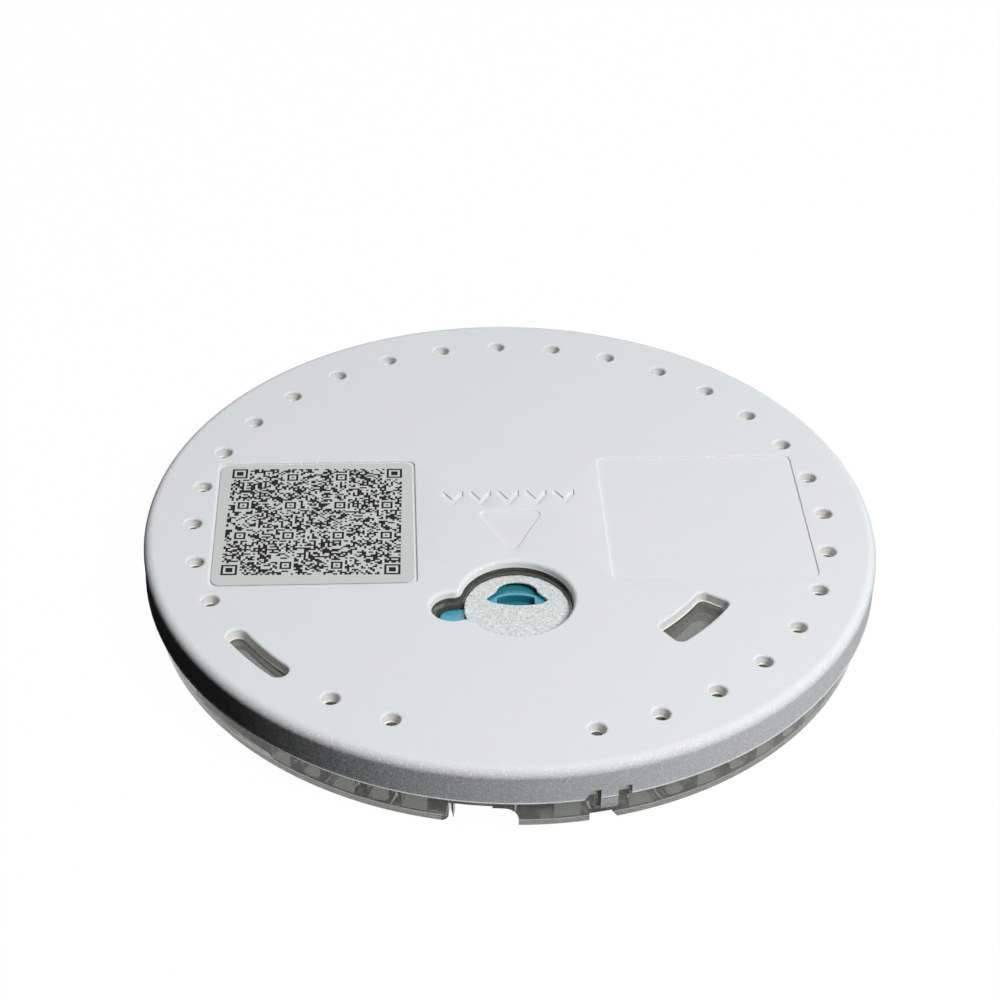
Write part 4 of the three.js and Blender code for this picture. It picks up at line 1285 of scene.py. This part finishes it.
def fluid_ways():
    """Cutters of the chambers and channels that are open to the top."""
    above = BASE_TOP + OVERRUN
    inner, outer = VIEW_RADII[0] - CHAMBER_MARGIN, VIEW_RADII[1] + CHAMBER_MARGIN
    middle = (inner + outer) / 2
    margin = math.degrees(CHAMBER_MARGIN / outer)
    chambers = [
        (inner, outer, VIEW_ANGLES[0] - margin, VIEW_ANGLES[1] + margin),
        (inner, outer, *METERING_ANGLES),
        (*MIXING_RADII, *MIXING_ANGLES),
    ]
    for near, far, start, end in chambers:
        yield prism(draw_sector("chamber", above, near, far, start, end, CHAMBER_CORNER),
                    CHAMBER_DEPTH + OVERRUN)
    first = (WITHOUT_CUVETTE[-1] + 1 - POSITIONS) * PITCH
    last = (WITHOUT_CUVETTE[-2] - 1) * PITCH
    slots = [
        (CHANNEL_RADIUS, CHANNEL_WIDTH, first, last, CHANNEL_DEPTH, RIM_STEPS // 2),
        (middle, FEED_WIDTH, METERING_ANGLES[1] - PITCH, VIEW_ANGLES[0], CHANNEL_DEPTH, ARC_STEPS),
        (TRANSFER_RADIUS, CHANNEL_WIDTH, *TRANSFER_ANGLES, CHANNEL_DEPTH, ARC_STEPS),
        (RING_RADIUS, SLOT_WIDTH, *SLOT_ANGLES, BASE_TOP - LONG_WELL_FLOOR, ARC_STEPS),
    ]
    for radius, width, start, end, depth, steps in slots:
        yield prism(draw_ring_slot("channel", above, radius, width, start, end, 0, steps),
                    depth + OVERRUN)
    well_end = SAMPLE_WELL_REACH - INLET_Y
    outflow = CHANNEL_RADIUS - MIXING_RADII[1] + CHAMBER_CORNER
    inflow = middle - well_end + CHAMBER_CORNER
    drop = CHANNEL_DEPTH + OVERRUN
    yield add_box("outflow", (CHANNEL_WIDTH, outflow, drop),
                  (0, (CHANNEL_RADIUS + MIXING_RADII[1]) / 2, above - drop / 2))
    yield add_box("inflow", (FEED_WIDTH, inflow, drop),
                  (0, -(middle + well_end) / 2, above - drop / 2))


def sample_well():
    half = BAY_HALF_WIDTH - SLIDE_GAP - SAMPLE_WELL_WALL
    middle = (SAMPLE_WELL_TOP - SAMPLE_WELL_REACH) / 2 + INLET_Y
    pen = draw_rectangle("sample well", BASE_TOP + OVERRUN, 2 * half,
                         SAMPLE_WELL_TOP + SAMPLE_WELL_REACH, half / 2, 0, middle)
    return prism(pen, BASE_TOP + OVERRUN - SAMPLE_WELL_FLOOR)


def rotor_piece():
    rotor = base_blank()
    grow = SLIDE_GAP + BOSS_WALL
    low, high = CAPSULE_FLOOR - BOSS_FLOOR, SLAB_UNDER + OVERRUN / 2
    boss = add_cylinder("boss", CAPSULE_RADIUS + grow, low, high, 0, INLET_Y)
    lobe = add_cylinder("boss lobe", LOBE_RADIUS + grow, low + BOSS_LOBE_LIFT, high, -LOBE_OFFSET,
                        INLET_Y - LOBE_DROP)
    unite(rotor, unite(boss, lobe))
    cut(rotor, horseshoe("capsule well", SLIDE_GAP, CAPSULE_FLOOR, BASE_TOP + OVERRUN),
        sample_well(), *socket_cutters())
    unite(rotor, spike_solid())
    wells = repeated("wells", well_cutter(CUVETTE_WIDTH, CUVETTE_LENGTH, CUVETTE_FLOOR,
                                          CUVETTE_CORNER), [i * PITCH for i in CUVETTES])
    pockets = repeated("pockets", well_cutter(POCKET_WIDTH, POCKET_LENGTH, POCKET_FLOOR,
                                              POCKET_CORNER),
                       [(i + 0.5) * PITCH for i in POCKETS])
    cut(rotor, joined("wells", [wells, pockets]))
    feed = add_box("feed", (CUVETTE_INNER + FEED_WIDTH - CHANNEL_RADIUS, FEED_WIDTH,
                            FEED_DEPTH + OVERRUN),
                   ((CUVETTE_INNER + FEED_WIDTH + CHANNEL_RADIUS) / 2, 0,
                    BASE_TOP + (OVERRUN - FEED_DEPTH) / 2))
    cut(rotor, repeated("feeds", feed, [i * PITCH for i in CUVETTES]), *fluid_ways(),
        pin_holes(BASE_TOP - PIN_REACH - SEAT_GAP, BASE_TOP + OVERRUN), notch_cutter(),
        foot_cutter(BASE_RADIUS, 0, NOTCH_FOOT, NOTCH_ANGLES[0]))
    unite(rotor, notch_fin())
    return smooth(cut(rotor, *keyway_cutters()))


# Diluent capsule

def draw_arched(name, height, half, front, radius):
    """A straight-sided outline whose far end is an arc about the step's arch centre."""
    centre = STEP_ARCH - step_radius() + INLET_Y
    side = centre + math.sqrt(radius ** 2 - half ** 2)
    pen = Pen(name, (-half, front), height)
    pen.line(half, front)
    pen.line(half, side)
    pen.arc((0, centre), 2 * math.degrees(math.asin(half / radius)), ARC_STEPS)
    pen.line(-half, front)
    return pen


def step_radius():
    rise = STEP_ARCH - STEP_SIDE
    return (STEP_HALF_WIDTH ** 2 + rise ** 2) / (2 * rise)


def capsule_step(bottom):
    """The step with an arched back under the sample port, the lower shelf behind it, and the hollow
    that opens towards the bay."""
    front = STEP_FRONT + INLET_Y
    step = prism(draw_arched("step", PAD_TOP, STEP_HALF_WIDTH, front, step_radius()),
                 PAD_TOP - bottom)
    bevel_edges(step, lambda a, b: min(a.z, b.z) > PAD_TOP - TINY, STEP_EDGE)
    shelf = add_cylinder("shelf", FILM_RADIUS - PORT_LEDGE - SEAT_GAP, bottom, SHELF_TOP,
                         0, FILM_Y, edge=SHELF_EDGE)
    ahead = add_box("ahead", (2 * INLET_RADIUS, 2 * INLET_RADIUS, 4 * PAD_TOP),
                    (0, INLET_Y + STEP_SIDE - INLET_RADIUS, 0))
    recess = prism(draw_arched("recess", PAD_TOP + OVERRUN, RECESS_HALF_WIDTH, front - OVERRUN,
                               step_radius() - STEP_WALL), OVERRUN + PAD_TOP - CAPSULE_TOP)
    return cut(unite(step, cut(shelf, ahead)), recess,
               bay_cutter(BAY_HALF_WIDTH, bottom, PAD_TOP))


def capsule_piece():
    """The horseshoe cup with its press pad, and the step under the sample port."""
    hollow_top = CAPSULE_TOP - CAPSULE_WALL
    root = hollow_top + CAPSULE_WALL / 2
    capsule = horseshoe("blue_capsule", 0, CAPSULE_UNDER, CAPSULE_TOP, CAPSULE_EDGE)
    cut(capsule, horseshoe("hollow", -CAPSULE_WALL, CAPSULE_UNDER - OVERRUN, hollow_top))
    unite(capsule, pad_solid("pad", PAD_RADIUS, PAD_LENGTH, root, PAD_TOP, PAD_EDGE),
          capsule_step(root))
    return smooth(capsule)


# Beads

def bead_piece(settings):
    """One lump of freeze-dried reagent, on the +X axis."""
    bpy.ops.object.select_all(action="DESELECT")
    bpy.ops.mesh.primitive_ico_sphere_add(
        subdivisions=4, radius=BEAD_RADIUS - settings.roughness,
        location=(BEAD_PLACE, 0, BEAD_HEIGHT))
    bpy.ops.object.transform_apply(location=True, rotation=True, scale=True)
    bpy.ops.object.mode_set(mode="EDIT")
    bpy.ops.transform.vertex_random(offset=settings.roughness, uniform=0, normal=1, seed=3)
    bpy.ops.mesh.vertices_smooth(factor=0.5, repeat=2)
    return smooth(leave_edit(), 60)


# Operators

class DISC_OT_cover(bpy.types.Operator):
    """Adds the pearl white cover with its windows, inlet, panels, pointer and key"""
    bl_idname = "reagent_disc.cover"
    bl_label = "Cover"

    def execute(self, context):
        settings = context.scene.disc_cover
        cover = cover_piece(settings)
        cover.name = "pearl_cover"
        finish_piece(cover, cover_material(settings), "rotor", "white_cover", "top_cover")
        return {"FINISHED"}


class DISC_OT_label(bpy.types.Operator):
    """Adds the printed label film in the left panel"""
    bl_idname = "reagent_disc.label"
    bl_label = "Label"

    def execute(self, context):
        finish_piece(label_piece(), label_material(context.scene.disc_label), "rotor",
                     "label_film", "code_label")
        return {"FINISHED"}


class DISC_OT_inlet(bpy.types.Operator):
    """Adds the frosted disc in the inlet, with its sample port"""
    bl_idname = "reagent_disc.inlet"
    bl_label = "Inlet disc"

    def execute(self, context):
        finish_piece(inlet_disc_piece(), frosted_material(context.scene.disc_inlet), "rotor",
                     "frosted_film", "inlet_disc")
        return {"FINISHED"}


class DISC_OT_rotor(bpy.types.Operator):
    """Adds the clear rotor base and its lid"""
    bl_idname = "reagent_disc.rotor"
    bl_label = "Rotor"

    def execute(self, context):
        clear = clear_material(context.scene.disc_rotor)
        finish_piece(lid_piece(), clear, "rotor", "clear_acrylic", "rotor_lid")
        finish_piece(rotor_piece(), clear, "rotor", "clear_acrylic", "rotor_base")
        return {"FINISHED"}


class DISC_OT_capsule(bpy.types.Operator):
    """Adds the blue diluent capsule, and the finish of its foil"""
    bl_idname = "reagent_disc.capsule"
    bl_label = "Capsule"

    def execute(self, context):
        blue = blue_material(context.scene.disc_inlet)
        finish_piece(capsule_piece(), blue, "capsule", "blue_polypropylene", "diluent_capsule")
        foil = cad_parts["capsule_foil"]
        foil.data.materials.clear()
        foil.data.materials.append(foil_material())
        return {"FINISHED"}


class DISC_OT_beads(bpy.types.Operator):
    """Adds the freeze-dried reagent beads in their cuvettes"""
    bl_idname = "reagent_disc.beads"
    bl_label = "Beads"

    def execute(self, context):
        settings = context.scene.disc_beads
        pale = bead_material("pale freeze-dried reagent", settings.pale)
        yellow = bead_material("yellow freeze-dried reagent", settings.yellow)
        rose = bead_material("rose freeze-dried reagent", settings.rose)
        model = bead_piece(settings)
        for number, position in enumerate(BEADS, 1):
            bead = model.copy()
            bead.data = model.data.copy()
            bead.data.transform(Matrix.Rotation(math.radians(position * PITCH), 4, "Z"))
            bead.name = f"dried_bead_{number:02d}"
            context.scene.collection.objects.link(bead)
            finish, slot = pale, "pale_reagent"
            if position in YELLOW_POSITIONS:
                finish, slot = yellow, "yellow_reagent"
            if position in ROSE_POSITIONS:
                finish, slot = rose, "rose_reagent"
            finish_piece(bead, finish, "rotor", slot, f"reagent_bead_{number:02d}")
        bpy.data.objects.remove(model)
        return {"FINISHED"}


def when_seen(tree, unseen, seen):
    """Mixes two shaders: one for light on the object, and one for what the camera, gloss and
    clear plastic show."""
    path = node(tree, "LightPath").outputs
    looked = maths(tree, "ADD", path["Is Camera Ray"], path["Is Glossy Ray"])
    clear = node(tree, "Math", {0: looked, 1: path["Is Transmission Ray"]}, operation="ADD",
                 use_clamp=True)
    return node(tree, "MixShader", {0: clear.outputs[0], 1: unseen.outputs[0],
                                    2: seen.outputs[0]})


def background_material(floor):
    """Matt white paper sweep, which shows white to the camera and in gloss and clear plastic."""
    material, tree, place = new_material("white paper sweep")
    grain = node(tree, "TexNoise", {"Vector": place, "Scale": 1 / (20 * MM)})
    tone = mix(tree, grain.outputs["Fac"], *[[c * share for c in floor] for share in PAPER_SHARES])
    paper = node(tree, "BsdfDiffuse", {"Color": tone})
    glow = node(tree, "Emission", {"Color": (1, 1, 1, 1), "Strength": PAPER_GLOW})
    bright = node(tree, "AddShader", {0: paper.outputs[0], 1: glow.outputs[0]})
    close_material(tree, when_seen(tree, paper, bright))
    return material


def add_room():
    """A white room, which lights the object only a little."""
    world = bpy.data.worlds.new("white room")
    bpy.context.scene.world = world
    world.use_nodes = True
    tree = world.node_tree
    tree.nodes.clear()
    dim = node(tree, "Background", {"Color": (1, 1, 1, 1), "Strength": ROOM_LIGHT})
    white = node(tree, "Background", {"Color": (1, 1, 1, 1), "Strength": 1.0})
    node(tree, "OutputWorld", {"Surface": when_seen(tree, dim, white).outputs[0]})


def add_light(name, degrees, elevation, distance, size, power):
    """A soft box that faces the disc."""
    data = bpy.data.lights.new(name, "AREA")
    data.shape = "DISK"
    data.size = size
    data.energy = power
    light = bpy.data.objects.new(name, data)
    flat = polar(distance * math.cos(math.radians(elevation)), degrees)
    light.location = (flat.x, flat.y, distance * math.sin(math.radians(elevation)))
    light.rotation_euler = (-light.location).to_track_quat("-Z", "Y").to_euler()
    bpy.context.scene.collection.objects.link(light)


def add_camera():
    """The camera of the photograph: it looks at the middle of the cover's face, which lies at a
    known pixel, with a slight roll."""
    data = bpy.data.cameras.new("camera")
    data.sensor_width = SENSOR_WIDTH
    data.lens = FOCAL_PIXELS * data.sensor_width / IMAGE_PIXELS
    data.clip_start, data.clip_end = 0.01, 10
    camera = bpy.data.objects.new("camera", data)
    target = Vector((0, 0, DISC_TOP))
    rise = math.radians(CAMERA_ELEVATION)
    flat = polar(math.cos(rise), CAMERA_ANGLE)
    back = Vector((flat.x, flat.y, math.sin(rise)))
    right = Vector((0, 0, 1)).cross(back).normalized()
    up = back.cross(right)
    roll = math.radians(CAMERA_ROLL)
    across = right * math.cos(roll) + up * math.sin(roll)
    above = up * math.cos(roll) - right * math.sin(roll)
    look = Matrix((across, above, back)).transposed()
    middle = IMAGE_PIXELS / 2
    pixel = Vector(((CENTRE_PIXEL[0] - middle) / FOCAL_PIXELS,
                    (middle - CENTRE_PIXEL[1]) / FOCAL_PIXELS, -1))
    aside = Vector((0, 0, -1)).rotation_difference(pixel).to_matrix()
    turn = look @ aside.transposed()
    camera.matrix_world = Matrix.Translation(target + back * CAMERA_DISTANCE) @ turn.to_4x4()
    bpy.context.scene.collection.objects.link(camera)
    bpy.context.scene.camera = camera


class DISC_OT_stage(bpy.types.Operator):
    """Adds the camera, the soft lights and the white floor"""
    bl_idname = "reagent_disc.stage"
    bl_label = "Stage"

    def execute(self, context):
        settings = context.scene.disc_stage
        add_camera()
        bpy.ops.object.select_all(action="DESELECT")
        bpy.ops.mesh.primitive_circle_add(
            vertices=64, radius=FLOOR_RADIUS, fill_type="NGON", location=(0, 0, -FLOOR_GAP))
        floor = bpy.context.object
        floor.name = "floor"
        floor.data.materials.append(background_material(settings.floor))
        add_light(*KEY_LAMP, settings.key_power)
        add_light(*TOP_LAMP, settings.top_power)
        add_light(*BACK_LAMP, settings.fill_power)
        add_room()
        context.scene.view_settings.view_transform = "Standard"
        return {"FINISHED"}


class DISC_PT_panel(bpy.types.Panel):
    """Lists the disc's pieces and their settings"""
    bl_idname = "DISC_PT_panel"
    bl_label = "Reagent Disc"
    bl_space_type = "VIEW_3D"
    bl_region_type = "UI"
    bl_category = "Reagent Disc"

    def draw(self, context):
        for operator in OPERATORS:
            self.layout.operator(operator.bl_idname)
        for name in GROUPS:
            box = self.layout.box()
            settings = getattr(context.scene, name)
            for key in settings.__annotations__:
                box.prop(settings, key)


OPERATORS = (DISC_OT_stage, DISC_OT_cover, DISC_OT_label, DISC_OT_inlet, DISC_OT_rotor,
             DISC_OT_capsule, DISC_OT_beads)
GROUPS = {
    "disc_cover": CoverSettings,
    "disc_label": LabelSettings,
    "disc_rotor": RotorSettings,
    "disc_inlet": InletSettings,
    "disc_beads": BeadSettings,
    "disc_stage": StageSettings,
}


def register():
    for cls in (*GROUPS.values(), *OPERATORS, DISC_PT_panel):
        bpy.utils.register_class(cls)
    for name, cls in GROUPS.items():
        setattr(bpy.types.Scene, name, PointerProperty(type=cls))


def unregister():
    for name in GROUPS:
        delattr(bpy.types.Scene, name)
    for cls in (DISC_PT_panel, *reversed(OPERATORS), *reversed(list(GROUPS.values()))):
        bpy.utils.unregister_class(cls)


def main():
    register()
    bpy.ops.reagent_disc.stage()
    bpy.ops.reagent_disc.cover()
    bpy.ops.reagent_disc.label()
    bpy.ops.reagent_disc.inlet()
    bpy.ops.reagent_disc.rotor()
    bpy.ops.reagent_disc.capsule()
    bpy.ops.reagent_disc.beads()


if __name__ == "__main__":
    main()
